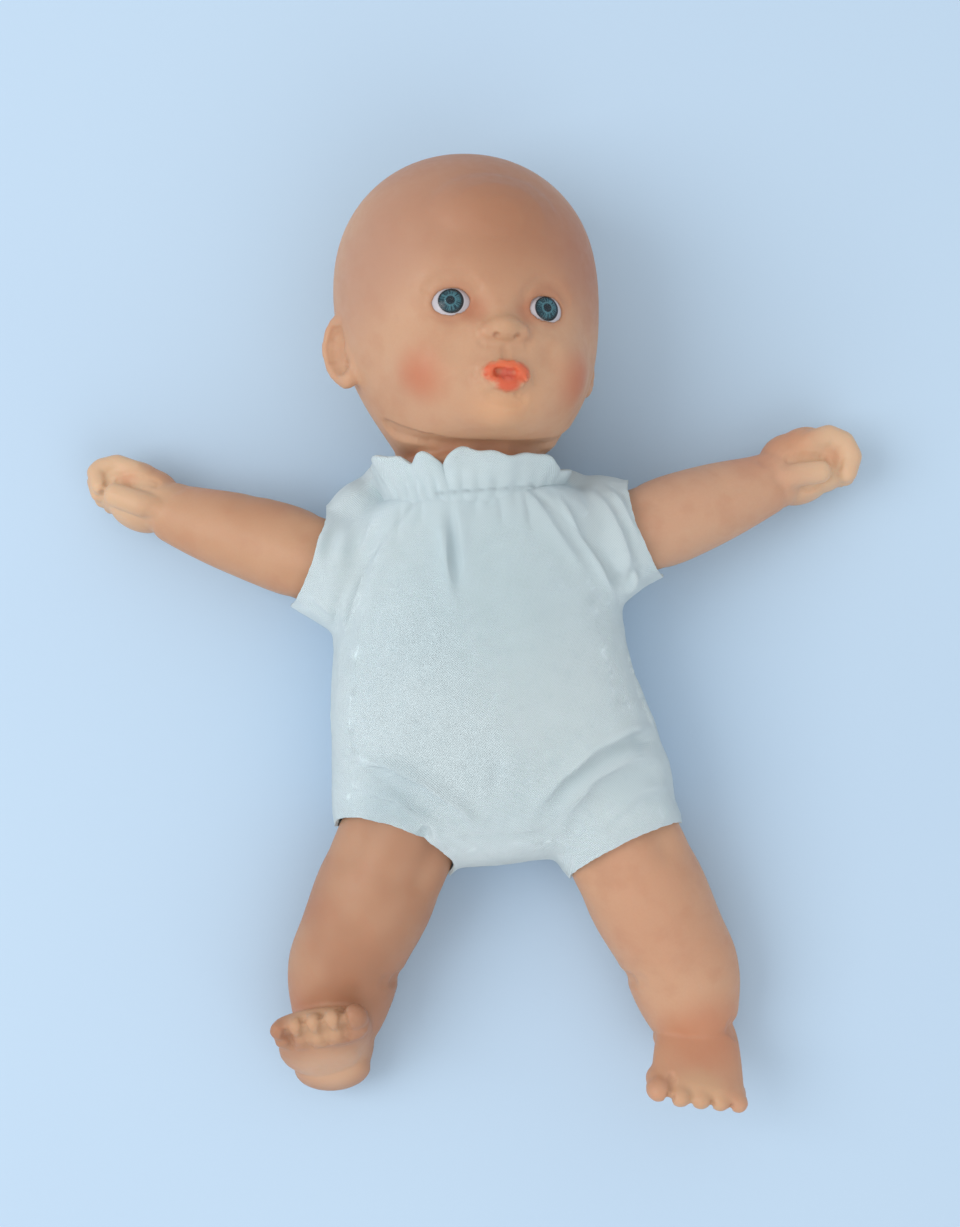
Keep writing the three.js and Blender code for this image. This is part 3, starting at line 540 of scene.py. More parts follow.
def ear_parts(side):
    """A cupped plate with a rolled rim and a lobe; its front looks a little forward"""
    lean = radians(EAR_LEAN)
    out = Vector((side * cos(lean), 0, sin(lean)))
    forward = Vector((-side * sin(lean), 0, cos(lean)))

    def at(ahead, up, away=0.0):
        return EAR_MIDDLE[side] + forward * ahead + Vector((0, up, 0)) + out * away
    parts = [ball(at(0.2, 0.3, -0.6), (1.9, 6.6, 4.3), turn=(4, -side * EAR_LEAN, 0))]
    rim = [(3.0, 4.6, 0.2), (1.6, 6.4, 1.0), (-1.4, 6.9, 1.3), (-3.7, 5.0, 1.5), (-4.6, 1.8, 1.5),
           (-4.2, -1.6, 1.3), (-2.9, -4.2, 1.0), (-1.2, -5.6, 0.6)]
    parts += finger(through(at, rim), 1.15, 1.2)
    for place, halves in (((0.2, -5.4, 0.0), (1.8, 2.4, 2.8)), ((2.8, -1.8, -0.4), (1.4, 1.7, 1.1))):
        parts.append(ball(at(*place), halves, turn=(0, -side * EAR_LEAN, 0)))
    return parts, at


def make_head():
    rows = []
    for up, half, front, back in SKULL:
        aside = np.interp(up, (-30, -20, -8, 0), (1.2, 0.8, 0.2, 0.0))
        rows.append((up, aside, (front + back) / 2, half, (front - back) / 2))
    parts = [drawn_out(rows, Z_ALONG_Y)]
    for start, end, radius in NECK_STEM:
        parts.append(bar((0, start, NECK_BACK), (0, end, NECK_BACK), radius))
    parts += [ball(place, halves) for place, halves in LUMPS]
    ears = {}
    for side in BOTH:
        parts.append(ball((side * 3.4, -14.4, 23.7), (2.4, 2.0, 2.4)))
        plate, ears[side] = ear_parts(side)
        parts += plate
    head = melted(joined("doll_head", parts), 0.7, 9)
    for side in BOTH:
        shape_face(head, SOFT_FORMS, side)
    finish_with(head, "SUBSURF", levels=1, render_levels=1)
    for sides, rows in FINE_FORMS:
        for side in sides:
            shape_face(head, rows, side)
    for side in BOTH:
        shape_lids(head, side)
        shape_ear(head, ears[side])
    shape_face(head, CHIN_FORMS)
    swell(head, CHIN_CREASE, -0.9, 2.0, within=1.2)
    finish_with(head, "DECIMATE", ratio=0.6)
    return placed(head, head_place())


def shape_lids(head, side):
    """A socket for the eye, with a rim all round and a soft crease over it"""
    middle = side * EYE_OUT
    places = spots_of(head)
    x = places[:, 0] - middle
    y = places[:, 1] - (EYE_LEVEL - FACE_TILT * middle)
    inside = (np.abs(x) / EYE_OPENING[0]) ** 1.9 + (np.abs(y) / EYE_OPENING[1]) ** 2 < 1
    press(head, inside & (places[:, 2] > 10), -2.0, 0.75)
    for wide, tall, turns, height, reach in (
            (4.1, 3.1, np.linspace(0, 2 * pi, 19), 0.12, 0.9),
            (5.4, 5.2, np.linspace(0.5, pi - 0.5, 7), -0.2, 1.3)):
        line = [(middle + wide * cos(angle), EYE_LEVEL + tall * sin(angle)) for angle in turns]
        swell(head, on_face(head, line), height, reach)


def shape_ear(head, at):
    """The bowl of the ear and the groove inside its rim"""
    for line, *how in (
            ([(-0.6, 2.2, 1.4), (-0.8, -0.4, 1.4), (0.2, -2.8, 1.2)], -0.9, 2.2, 0.8),
            ([(0.6, -2.6, 0.8)], -0.7, 1.0, 0.7),
            ([(0.8, 4.4, 1.0), (-1.4, 4.8, 1.2), (-3.0, 2.6, 1.3), (-3.0, -0.8, 1.3)], -0.3, 0.9, 0.6)):
        swell(head, through(at, line), *how)


def eye_place(side):
    x = SIDES[side] * EYE_OUT
    seat = Matrix.Translation(Vector((x, EYE_LEVEL - FACE_TILT * x, EYE_FRONT)) * MM)
    return head_place() @ seat @ turned("Y", SIDES[side] * EYE_SPLAY)


def make_eye(side):
    """A white with a printed iris and a clear dome over it"""
    white = joined(f"eye_ball_{side}", [ball((0, 0, -3.6), (4.8, 4.4, 4.4), sides=64)])
    iris = joined(f"eye_iris_{side}", [ball((0, 0, -3.6), (4.9, 4.5, 4.5), sides=96)])
    keep_disc(iris, 3.1)
    across = iris.data.uv_layers.new(name="across")
    for loop in iris.data.loops:
        place = iris.data.vertices[loop.vertex_index].co / MM
        across.data[loop.index].uv = ((place.x - IRIS_MIDDLE) / IRIS_RADIUS, place.y / IRIS_RADIUS)
    dome = joined(f"eye_dome_{side}", [ball((IRIS_MIDDLE, 0, -2.4), (3.6, 3.6, 3.6), sides=64)])
    keep_disc(dome, 2.9)
    finish_with(dome, "SOLIDIFY", thickness=0.00012, offset=1.0)
    return [placed(piece, eye_place(side)) for piece in (white, iris, dome)]


def keep_disc(piece, radius):
    """Keeps the front cap of a ball round the iris, inside a radius"""
    places = spots_of(piece)
    gone = (np.hypot(places[:, 0] - IRIS_MIDDLE, places[:, 1]) > radius) | (places[:, 2] < 0)
    with edited(piece, gone):
        bpy.ops.mesh.delete(type="VERT")


def iris_finish(name):
    """Dark rim, pale spokes round a ring, and a dark pupil"""
    finish = Finish(name, tint(16, 52, 64), 0.25)
    across = finish.add("ShaderNodeUVMap", uv_map="across").outputs[0]
    radius = finish.vector("LENGTH", across).outputs["Value"]
    around = finish.vector("NORMALIZE", across).outputs[0]
    spokes = finish.ranged(finish.grain(5.5, 2.0, around), 0.42, 0.6)
    middle = finish.math(
        "MULTIPLY", finish.ranged(radius, 0.3, 0.46), finish.ranged(radius, 0.6, 0.88, 1.0, 0.0))
    finish.mixed(finish.math("MULTIPLY", spokes, middle), tint(76, 128, 140), 0.8)
    finish.mixed(finish.ranged(radius, 0.72, 0.9), tint(8, 18, 24))
    ring = finish.math(
        "MULTIPLY", finish.ranged(radius, 0.3, 0.36), finish.ranged(radius, 0.4, 0.5, 1.0, 0.0))
    finish.mixed(ring, tint(84, 136, 148), 0.7)
    finish.mixed(finish.ranged(radius, 0.27, 0.34, 1.0, 0.0), tint(18, 34, 44))
    finish.mixed(finish.ranged(radius, 0.96, 1.02), tint(190, 186, 192))
    return finish.done()


# Arms. Local +X runs out along the left arm, +Y is the back of the hand and +Z its thumb side
ARM_ROWS = [
    (1.0, 0, 0, 8.9, 8.9), (3.6, 0, 0, 9.5, 9.4), (8.0, 0.1, 0, 9.6, 9.3), (14.0, 0.2, 0, 9.2, 8.9),
    (21.0, 0.3, 0, 8.5, 8.2), (27.0, 0.3, 0, 7.5, 7.1), (32.0, 0.4, 0, 6.6, 6.1), (36.0, 0.8, 0, 6.4, 5.8),
]
WRIST = {"left": 32.0, "right": 35.0}
WRIST_DROP = {"left": 0.0, "right": 1.3}
HAND_SIZE = {"left": (1.14, 1.12), "right": (1.12, 0.98)}
PALM = {"left": -2.6, "right": -1.2}
FINGER_LEVELS = ((3.4, 2.25, 0.0), (0.8, 2.2, 0.5), (-1.8, 2.05, 0.3), (-4.0, 1.8, -0.9))
UNCURLED = {"left": 0.0, "right": 1.6}
THUMB = {
    "left": [(-0.6, 0.4, 2.8), (3.6, 0.0, 4.3), (7.6, -0.9, 4.7)],
    "right": [(-0.6, -1.2, 2.8), (4.0, -2.2, 4.0), (9.0, -2.4, 4.2)],
}


def make_arm(side):
    sign = SIDES[side]
    wrist = WRIST[side]
    drop = WRIST_DROP[side]
    out_x = Matrix(((0, 0, sign, 0), (1, 0, 0, 0), (0, 1, 0, 0), (0, 0, 0, 1)))
    rows = []
    for along, aside, *rest in ARM_ROWS:
        aside -= drop * min(max((along - 10) / 20, 0), 1)
        rows.append((along * (wrist / 34 if along > 5 else 1), aside, *rest))
    parts = [drawn_out(rows, out_x, sides=32)]
    for end, radius in ((3.0, 7.4), (-1.6, 8.5)):
        parts.append(bar((sign * -3.8, 0, 0), (sign * end, 0, 0), radius))
    for angle in (-60, 0, 60):
        up = turned("X", angle) @ upward(arm_place(side), 0) * 2.3
        parts.append(bar((sign * -5.4, up.y, up.z), (sign * 5.0, up.y, up.z), 7.1))

    size, thick_size = HAND_SIZE[side]

    def hand(x, y, z):
        return (sign * (wrist + x * size), y * thick_size + 0.2 - drop, z * size)
    for place, halves, lean in (
            ((0.8, 0.6, 0), (4.8, 5.8, 5.2), 0), ((4.4, 2.2, -0.3), (6.2, 6.2, 5.2), 10),
            ((9.8, 2.0, -0.4), (6.2, 5.7, 5.0), 0), ((7.6, 3.9, 0.4), (5.8, 4.6, 4.8), 0),
            ((5.6, -2.4, -1.2), (5.8, 3.5, 4.6), 0), ((10.4, PALM[side], -1.0), (4.2, 2.6, 4.4), 0),
            ((9.6, 0.2, 2.4), (3.4, 3.2, 2.4), 0)):
        halves = (halves[0] * size, halves[1] * thick_size, halves[2] * size)
        parts.append(ball(hand(*place), halves, turn=(0, 0, sign * lean)))
    for number, (level, thick, longer) in enumerate(FINGER_LEVELS):
        curl = (0.5 if number else 0.0) - UNCURLED[side]
        line = [(8.0, 5.0, level), (12.2 + longer, 5.0, level), (14.7 + longer, 2.9, level),
                (15.2 + longer, -0.2 - curl, level), (13.2 + longer, -2.9 - curl, level)]
        parts += finger(through(hand, line), thick * thick_size, thick * thick_size * 0.9)
    parts += finger(through(hand, THUMB[side]), 2.9, 2.7)
    arm = melted(joined(f"vinyl_arm_{side}", parts), 0.4, 7)
    relaxed(arm, np.abs(spots_of(arm)[:, 0]) < 7, 12)
    shape_hand(arm, hand)
    swell(arm, through(hand, [(-2.2, 6, 3), (-1.4, 3, 5.6), (0, -2, 5.8), (1.2, -5, 3.4)]), -0.3, 2.0)
    swell(arm, [(sign * 17, 8.6, 3), (sign * 18, 7.0, 5.4), (sign * 18.4, 3.0, 8.0)], -0.15, 2.4)
    return rested(placed(arm, arm_place(side)))


def shape_hand(arm, hand):
    """Creases between the fingers and round the thumb"""
    for (above, _, _), (below, _, _) in zip(FINGER_LEVELS, FINGER_LEVELS[1:]):
        level = (above + below) / 2
        gap = [(x, y, level) for x, y in ((9.5, 7.4), (13.4, 6.8), (16.6, 4.0), (17.6, -0.2), (15.6, -4.2))]
        swell(arm, through(hand, gap), -0.45, 0.8, within=0.9)
    around = [
        (3.0, 3.2, 4.6), (6.4, 2.4, 5.0), (9.4, 0.8, 4.6),
        (9.8, -1.4, 4.2), (8.0, -3.6, 3.6), (4.4, -3.4, 3.8)]
    swell(arm, through(hand, around), -0.4, 1.0, within=0.8)
    swell(arm, through(hand, [(10.2, 0.4, 4.6), (11.8, -0.6, 4.0), (12.0, -2.2, 3.4)]), -0.4, 1.0, within=0.6)


# Legs. Local -Y runs down the leg and +Z is its front
LEG_ROWS = [
    (1.6, 0, 0, 11.6, 11.6), (4.6, 0, 0, 12.8, 12.7), (10.0, 0, 0, 13.2, 13.0), (16.0, 0, 0, 12.9, 12.6),
    (22.0, 0.06, 0, 12.2, 11.6), (26.0, 0.06, 0, 12.2, 11.0), (30.5, -0.06, 0, 12.5, 11.0),
    (37.0, -0.4, 0, 11.5, 9.9), (42.0, -0.76, 0, 9.5, 8.4), (46.0, -0.98, 0, 8.0, 7.4),
]
THIGH_UP = {"left": 7.5, "right": 11.5}
FOOT_TURN = {"left": (16, -38.5), "right": (-48, -30.5)}
ANKLE_DOWN = 43
ANKLE_IN = {"left": 2.5, "right": 3.5}
TOES = {"left": (2.55, 2.4, 2.35, 2.25, 2.1), "right": (2.6, 2.2, 2.15, 2.1, 1.95)}
TOE_PITCH = 1.9
SOLE_LINE = {"left": -0.35, "right": 0.5}
SOLE = {
    "left": [((0, -6.6, -3.2), (8.2, 4.2, 7.0))],
    "right": [((-1.4, -6.6, -4.8), (8.4, 4.2, 7.0)), ((-2.2, -6.8, 4.6), (8.8, 4.0, 10.0))],
}
FOOT_ROWS = [
    (-9.4, 0, -5.4, 3.6, 2.8), (-7.6, 0, -4.4, 6.4, 5.0), (-3.4, 0, -2.4, 8.4, 6.8),
    (2.0, 0, -1.6, 9.0, 7.6), (7.5, 0, -3.4, 9.8, 5.8), (12.5, 0, -5.0, 10.2, 3.8),
    (16.2, 0, -5.8, 10.2, 2.8), (17.8, 0, -6.1, 8.6, 1.8),
]


def foot_place(side):
    lean, skew = FOOT_TURN[side]
    ankle = Matrix.Translation(Vector((-SIDES[side] * ANKLE_IN[side], -ANKLE_DOWN, 0)) * MM)
    return ankle @ turned("Z", SIDES[side] * skew) @ turned("X", lean)


def make_leg(side):
    sign = SIDES[side]
    down_y = Matrix(((sign, 0, 0, 0), (0, 0, -1, 0), (0, 1, 0, 0), (0, 0, 0, 1)))
    rows = [(along, aside * ANKLE_IN[side], *rest) for along, aside, *rest in LEG_ROWS]
    top = THIGH_UP[side]
    parts = [drawn_out(rows, down_y, sides=36)]
    for x, start, end, front, radius in (
            (0, top, -5, 2.7, 9.6), (-5.0, top - 2.5, -5, 1.6, 7.8), (5.0, top - 2.5, -5, 1.6, 7.8),
            (0, 3.8, -3.2, 0, 10.2), (0, 3.8, 1.6, 0, 11.3)):
        parts.append(bar((x, start, front), (x, end, front), radius))
    foot = [drawn_out(FOOT_ROWS, Matrix.Identity(4), sides=32)]
    across = -TOE_PITCH / 2 * sum(TOES[side])
    for number, radius in enumerate(TOES[side]):
        across += radius * TOE_PITCH / 2
        x = sign * across
        ahead = 17.2 - max(number - 1, 0) * 0.6 - (0 if number else 0.5)
        foot.append(ball((x, -9.0 + radius, ahead), (radius * 1.06, radius, radius * 1.25), sides=20))
        foot.append(ball((x, -8.8 + radius, ahead - 3.0), (radius, radius * 0.9, radius * 1.6), sides=20))
        across += radius * TOE_PITCH / 2
    foot.append(ball((sign * -1.0, -7.4, 12.0), (8.8, 2.4, 3.8)))
    foot += [ball(place, halves) for place, halves in SOLE[side]]
    whole = joined("foot", foot)
    whole.matrix_world = foot_place(side)
    leg = melted(joined(f"vinyl_leg_{side}", parts + [whole]), 0.5, 6)
    relaxed(leg, spots_of(leg)[:, 1] > -12, 24)
    shape_leg(leg, side)
    return rested(placed(leg, leg_place(side)))


def shape_leg(leg, side):
    """Knee and ankle creases, and the lines between the toes"""
    sign = SIDES[side]
    foot = foot_place(side)

    def at(x, y, z):
        return foot @ (Vector((sign * x, y, z)) * MM) / MM
    for line, *how in (
            ([(-11.6, -25.4, 4.0), (-12.0, -25.8, 0.0), (-11.6, -25.6, -4.0)], -0.5, 1.8),
            ([(-9.6, -25.6, 7.0), (-11.0, -25.6, 4.0)], -0.3, 1.8),
            ([(-2.0, -24.6, 11.4)], 0.4, 5.0)):
        swell(leg, [(sign * x, y, z) for x, y, z in line], *how, within=1.0)
    front = [(7.6, 2.6, 3.2), (4.0, 5.0, 3.8), (0, 5.8, 4.0), (-4.0, 5.0, 3.8), (-7.6, 2.6, 3.2)]
    swell(leg, through(at, front), -0.5, 1.6, within=1.3)
    across = -TOE_PITCH / 2 * sum(TOES[side])
    for number, radius in enumerate(TOES[side][:-1]):
        across += radius * TOE_PITCH
        ahead = 17.0 - number * 0.6
        line = [(across, y, ahead + z)
                for y, z in ((-2.6, -6.4), (-4.4, -1.2), (-6.6, 1.4), (-8.8, 0.2), (-9.2, -3.2))]
        swell(leg, through(at, line), -0.6, 0.9, within=0.9)
    under = [(-9.0, -9.0, 13.6), (-3.0, -9.4, 13.6), (3.0, -9.4, 12.8), (9.0, -8.8, 11.6)]
    swell(leg, through(at, under), SOLE_LINE[side], 1.4, within=1.0)
    swell(leg, [at(0, -9.2, 3.4)], -0.3, 6.0, within=1.0)


# Cloth body, in the frame's own place. Its rows run from the neck to the crotch: how far up, shift aside,
# half width, top and bottom
BODY = [
    (26.6, 0.4, 15.0, 40.6, 13.0), (25.2, 0.4, 19.6, 43.6, 10.0), (20.5, 0.2, 26.6, 43.8, 4.4),
    (12.5, -0.2, 30.4, 42.8, 0.0), (2.0, -1.0, 30.2, 42.0, -1.4), (-8.0, -1.8, 31.2, 41.2, -1.6),
    (-16.0, -1.4, 32.6, 41.0, -1.6), (-24.0, -0.6, 34.2, 40.6, -1.6), (-35.0, 0.5, 36.6, 38.4, -1.6),
    (-43.0, 0.9, 37.2, 35.4, -1.4), (-49.5, 0.6, 33.0, 30.6, 0.8), (-54.0, 0, 20.0, 24.0, 7.0),
]
# Rings of the sleeves and casings along their limbs: start, end, and the radius at each
SLEEVE_RINGS = ((-15, -9, 12.6, 13.2), (-9, -3.0, 13.2, 11.7), (-3.0, 4.6, 11.7, 10.4))
CASING_RINGS = ((-19, -10, 13.4, 14.7), (-10, -3, 14.7, 14.1), (-3, 4.6, 14.1, 12.3))
SHOULDERS = (
    ((-22.6, 21.6, 15.0), (9.6, 9.4, 12.6)), ((-17.8, 26.4, 14.0), (6.4, 8.4, 11.0)),
    ((27.0, 18.6, 16.0), (9.5, 8.8, 13.0)), ((19.5, 22.0, 14.0), (7.0, 7.4, 11.0)),
)
# Seams: the raglan lines, the gusset's sides and front, the lines over the hips and the sides of the body
ARMPIT = -12
GUSSET_HALF = 8
CROTCH = -46
SIDE_LEVEL = 17.0
RAGLAN = [(10.5, 70), (10.5, 25.5), (24, 11), (31, -5), (70, ARMPIT)]
HIP = [(GUSSET_HALF, CROTCH), (31, -27), (70, -27)]
SLANT = {"left": (0.42, 0.4), "right": (0.4, 0.68)}
NEAR_OPENING = 12
FOLD_ROOM = 0.003
CLOTH_THICKNESS = 0.0007
# Each piece of cloth: the node it stands for, its width and length as cut, its area, and how it is held
CLOTH = [
    ("cloth_front", "front_panel", (0.070, 0.080), 0.0050, "stretched"),
    ("cloth_back", "back_panel", (0.070, 0.078), 0.0043, "stretched"),
    ("cloth_gusset", "crotch_gusset", (0.016, 0.041), 0.00062, "stretched"),
    ("cloth_sleeve_left", "sleeve_left", (0.064, 0.036), 0.0016, "gathered"),
    ("cloth_sleeve_right", "sleeve_right", (0.068, 0.038), 0.0018, "gathered"),
    ("cloth_hip_left", "leg_casing_left", (0.062, 0.036), 0.0016, "gathered"),
    ("cloth_hip_right", "leg_casing_right", (0.058, 0.030), 0.00105, "gathered"),
]


def arm_axis(side):
    """The arm's place with local +Z running out along the arm"""
    return arm_place(side) @ turned("Y", 90 * SIDES[side])


def leg_axis(side):
    return leg_place(side) @ turned("X", 90)


def make_body():
    rows = [(y, shift, (top + low) / 2, half, (top - low) / 2) for y, shift, half, top, low in BODY]
    parts = [drawn_out(rows, Z_ALONG_Y, sides=48)]
    for side in SIDES:
        for place, rings in ((arm_axis(side), SLEEVE_RINGS), (leg_axis(side), CASING_RINGS)):
            for start, end, thick, thin in rings:
                ring = bar((0, 0, start), (0, 0, end), thick, thin, 40)
                ring.matrix_world = place @ ring.matrix_world
                parts.append(ring)
    parts += [ball(place, halves, sides=32) for place, halves in SHOULDERS]
    return melted(joined("cloth_body", parts), 0.85, 12)


def copied(piece, name):
    mesh = piece.data.copy()
    mesh.name = name
    copy = bpy.data.objects.new(name, mesh)
    bpy.context.scene.collection.objects.link(copy)
    return copy


def pocket(piece, matrix, start, end, radius):
    """Cuts a round pocket for a limb or the neck, which runs along the matrix's own Z"""
    cutter = bar((0, 0, start), (0, 0, end), radius, sides=40)
    cutter.matrix_world = matrix @ cutter.matrix_world
    finish_with(piece, "BOOLEAN", object=cutter, operation="DIFFERENCE", solver="EXACT")
    bpy.data.objects.remove(cutter)


def make_filling(body):
    """The stuffing: the body's own form, smaller all round by the cloth and its deepest folds"""
    filling = copied(body, "fibre_filling")
    finish_with(filling, "DISPLACE", strength=-FOLD_ROOM, mid_level=0.0)
    melted(filling, 1.3, 6)
    for side, sign in SIDES.items():
        swell(filling, [(sign * 26, 20, 19)], -3.5, 12.0, within=8.0)
        pocket(filling, arm_axis(side), -7.0, 9.0, 10.4)
        pocket(filling, leg_axis(side), -10.5, 9.0, 13.2)
    pocket(filling, collar_place() @ turned("X", -90), -6.0, 12.0, 15.4)
    return filling


def round_limb(body, matrix, axis, way):
    """Every point in the limb's own frame: its place, how far along it is, what is beside, and its radius"""
    back = np.array(matrix.inverted())
    own = spots_of(body) @ back[:3, :3].T + back[:3, 3] / MM
    beside = np.delete(own, axis, axis=1)
    return own, own[:, axis] * way, beside, np.hypot(*beside.T)


def gather_edges(body):
    """Opens the sleeves and casings, and gathers the cloth at their edges"""
    for side, sign in SIDES.items():
        for matrix, axis, way, edge, inner, count, reach, tilt in (
                (arm_place(side), 0, sign, 2.0, 10.0, 11, 17.5, SLANT[side][0]),
                (leg_place(side), 1, -1, 1.0, 12.6, 12, 16.6, SLANT[side][1])):
            _, along, beside, radius = round_limb(body, matrix, axis, way)
            angle = np.arctan2(beside[:, 1], beside[:, 0])
            near_edge = np.clip((along + 5.0) / 6.5, 0, 1) * (along < 8) * (radius < inner + 8)
            wave = np.cos(count * angle + 2.2 * np.sin(2 * angle)) + 0.6 * np.cos((count + 8) * angle + 1)
            shift = beside * (near_edge * wave * 0.16 / np.maximum(radius, 5))[:, None]
            turn = np.array(matrix.to_3x3())
            moved_to(body, spots_of(body) + np.insert(shift, axis, 0.0, axis=1) @ turn.T)
            _, along, _, radius = round_limb(body, matrix, axis, way)
            with edited(body, (along > edge + 0.4) & (along < NEAR_OPENING) & (radius < inner + 3.0)):
                bpy.ops.mesh.delete(type="VERT")
            open_end(body, matrix, axis, way, edge, reach, tilt)


def open_end(body, matrix, axis, way, edge, reach, tilt):
    """Trims an opening square to its limb, then cuts its front back at a slant"""
    up = upward(matrix, axis)
    out = Vector((0, 0, 0))
    out[axis] = way
    point = matrix @ (out * edge * MM)
    for slant in (0.0, tilt):
        _, along, _, radius = round_limb(body, matrix, axis, way)
        with edited(body, (np.abs(along) < NEAR_OPENING) & (radius < reach)):
            bpy.ops.mesh.bisect(
                plane_co=point, plane_no=matrix.to_3x3() @ (out + up * slant), clear_outer=True)
    own, along, _, radius = round_limb(body, matrix, axis, way)
    behind = np.minimum(edge - along, edge - along - own @ np.array(up) * tilt)
    relaxed(body, (behind < 2.2) & (np.abs(along) < NEAR_OPENING) & (radius < reach), 9)


def finish_body(body):
    """Folds, gathers and seams, in the order that they lie"""
    gather_edges(body)
    folds(body)
    crumple(body, 0.011, 0.9)
    crumple(body, 0.0045, 0.35)
    rested(body, 0.0)


def ridge(body, line, height, width, fade):
    """A fold laid along a line on top of the cloth: raised, or sunk if the height is negative"""
    laid = np.array(on_top(body, line, 1.4))
    places = spots_of(body)
    normals = outward_of(body)
    distance, along = from_line(places, laid)
    ends = np.clip(np.minimum(along, 1 - along) / fade, 0, 1)
    share = np.exp(-((distance / width) ** 2)) * ends * ends * (3 - 2 * ends)
    moved_to(body, places + normals * (share * height)[:, None])


def crumple(body, size, height):
    """Small unevenness of stuffed cloth"""
    clouds = bpy.data.textures.new("unevenness", "CLOUDS")
    clouds.noise_scale = size
    clouds.noise_depth = 1
    finish_with(body, "DISPLACE", texture=clouds, strength=height * MM, mid_level=0.5, texture_coords="LOCAL")


def fold(body, line, height, width, fade, under):
    """A ridge with a shadowed trough on its left-hand side as the line runs"""
    line = np.array(line, float)
    along = np.diff(line, axis=0)
    along = np.vstack([along, along[-1]])
    along /= np.linalg.norm(along, axis=1)[:, None]
    beside = line + np.stack([-along[:, 1], along[:, 0]], axis=1) * width * 1.35
    ridge(body, line, height, width, fade)
    ridge(body, beside, -height * under, width * 0.8, fade)


# Gathers under the collar: place across, length and depth
GATHERS = (
    (0.2, 6, 0.5), (2.8, 4, 0.5), (5.0, 8, 0.6), (7.9, 5, 0.5), (10.0, 9, 0.6), (13.2, 5, 0.6),
    (16.0, 6, 0.6), (-10.2, 6, 0.7), (-12.4, 4, 0.6), (-14.8, 9, 0.8),
)
# Folds beside the raglan seams, on the sleeves and over the hips: line, height, width, fade and trough
FOLDS = (
    ([(15.6, 24.4), (21.0, 14.6), (26.4, 4.0), (28.8, -3.0)], 1.5, 1.5, 0.3, 1.0),
    ([(10.6, 24.6), (15.6, 16.8), (20.4, 8.6), (23.0, 2.0)], 0.9, 1.5, 0.4, 0.7),
    ([(-27.6, -6.0), (-22.8, 7.6), (-15.0, 22.0)], 0.8, 2.4, 0.4, 0.7),
    ([(-31.4, -6.0), (-27.0, 6.6), (-22.0, 15.0)], 0.7, 1.4, 0.35, 0.8),
    ([(22.0, 25.4), (28.4, 17.4), (31.2, 6.6), (31.6, 0.0)], 1.0, 1.5, 0.35, 0.9),
    ([(27.4, 25.6), (31.4, 18.4), (33.2, 9.6)], 0.9, 1.2, 0.35, 0.8),
    ([(30.4, -0.6), (33.0, 4.4), (36.6, 8.8)], 1.3, 1.2, 0.35, 0.9),
    ([(-20.6, 27.6), (-26.4, 20.0), (-29.4, 10.0)], 1.0, 1.6, 0.35, 0.8),
    ([(-27.0, 27.6), (-31.2, 20.0), (-34.0, 12.0)], 1.0, 1.2, 0.35, 0.8),
    ([(-30.0, -2.6), (-32.6, 3.0), (-36.8, 7.6)], 0.9, 1.3, 0.35, 0.8),
    ([(-3.0, -46.0), (-8.4, -39.6), (-15.0, -33.8), (-22.0, -29.6), (-31.0, -27.4)], 2.4, 1.8, 0.35, 1.1),
    ([(-11.4, -50.0), (-15.0, -42.6), (-21.4, -36.8), (-32.0, -32.6)], 1.9, 1.6, 0.4, 1.0),
    ([(-21.0, -46.0), (-25.4, -41.2), (-34.0, -38.8)], 1.2, 1.3, 0.35, 0.9),
    ([(36.0, -26.2), (28.0, -27.0), (20.0, -30.0), (12.4, -35.4), (7.0, -41.0), (4.6, -46.0)],
     1.9, 1.9, 0.35, 1.2),
    ([(35.4, -32.8), (26.6, -33.2), (19.0, -36.4), (13.6, -42.0), (11.0, -49.0)], 1.5, 1.8, 0.4, 1.0),
    ([(37.2, -39.0), (29.0, -39.8), (20.0, -44.6)], 0.8, 1.4, 0.35, 0.8),
)
CROTCH_GATHERS = ((-5.0, 5.5, 12, 0.5), (-2.6, 1.8, 7, 0.45), (2.0, 1.6, 8, 0.45), (4.8, 5.0, 11, 0.5))


def folds(body):
    # The deep pleat under the neck, its neighbour and the small gathers
    fold(body, [(-6.8, 25.4), (-6.6, 15.0), (-6.4, 6.0), (-5.8, -1.0)], 1.0, 1.4, 0.5, 1.6)
    ridge(body, [(-2.6, 25.0), (-2.8, 17.0), (-3.2, 9.0)], 0.7, 1.3, 0.5)
    for x, length, depth in GATHERS:
        line = [(x, 26.0), (x * 1.08, 25.4 - length * 0.5), (x * 1.14, 25.4 - length * 1.3)]
        ridge(body, line, -depth, 0.8, 0.45)
    # The raglan seams and all large folds
    for sign in BOTH:
        ridge(body, [(sign * x, y) for x, y in RAGLAN[1:4]], -0.4, 0.7, 0.05)
    for row in FOLDS:
        fold(body, *row)
    ridge(body, [(0.2, -22.0), (-0.6, -36.0), (-0.7, -46.0)], -0.7, 1.6, 0.6)
    # Gathers over the crotch, and its seam
    for x, spread, length, depth in CROTCH_GATHERS:
        line = [(x * 0.6, -48.0), (x, -46.0 + length * 0.4), (x + np.sign(x) * spread, -46.0 + length)]
        ridge(body, line, -depth, 1.0, 0.55)
    ridge(body, [(-9.0, -46.2), (0, -46.4), (9.0, -47.2)], -0.8, 0.8, 0.05)
    # Puckers on the side seam
    for y in (-12, -14.6, -17, -19.6, -22.4, -25.0):
        swell(body, [(30.6 + (-12 - y) * 0.16, y, 24.0)], 0.45, 1.2, within=0.8)


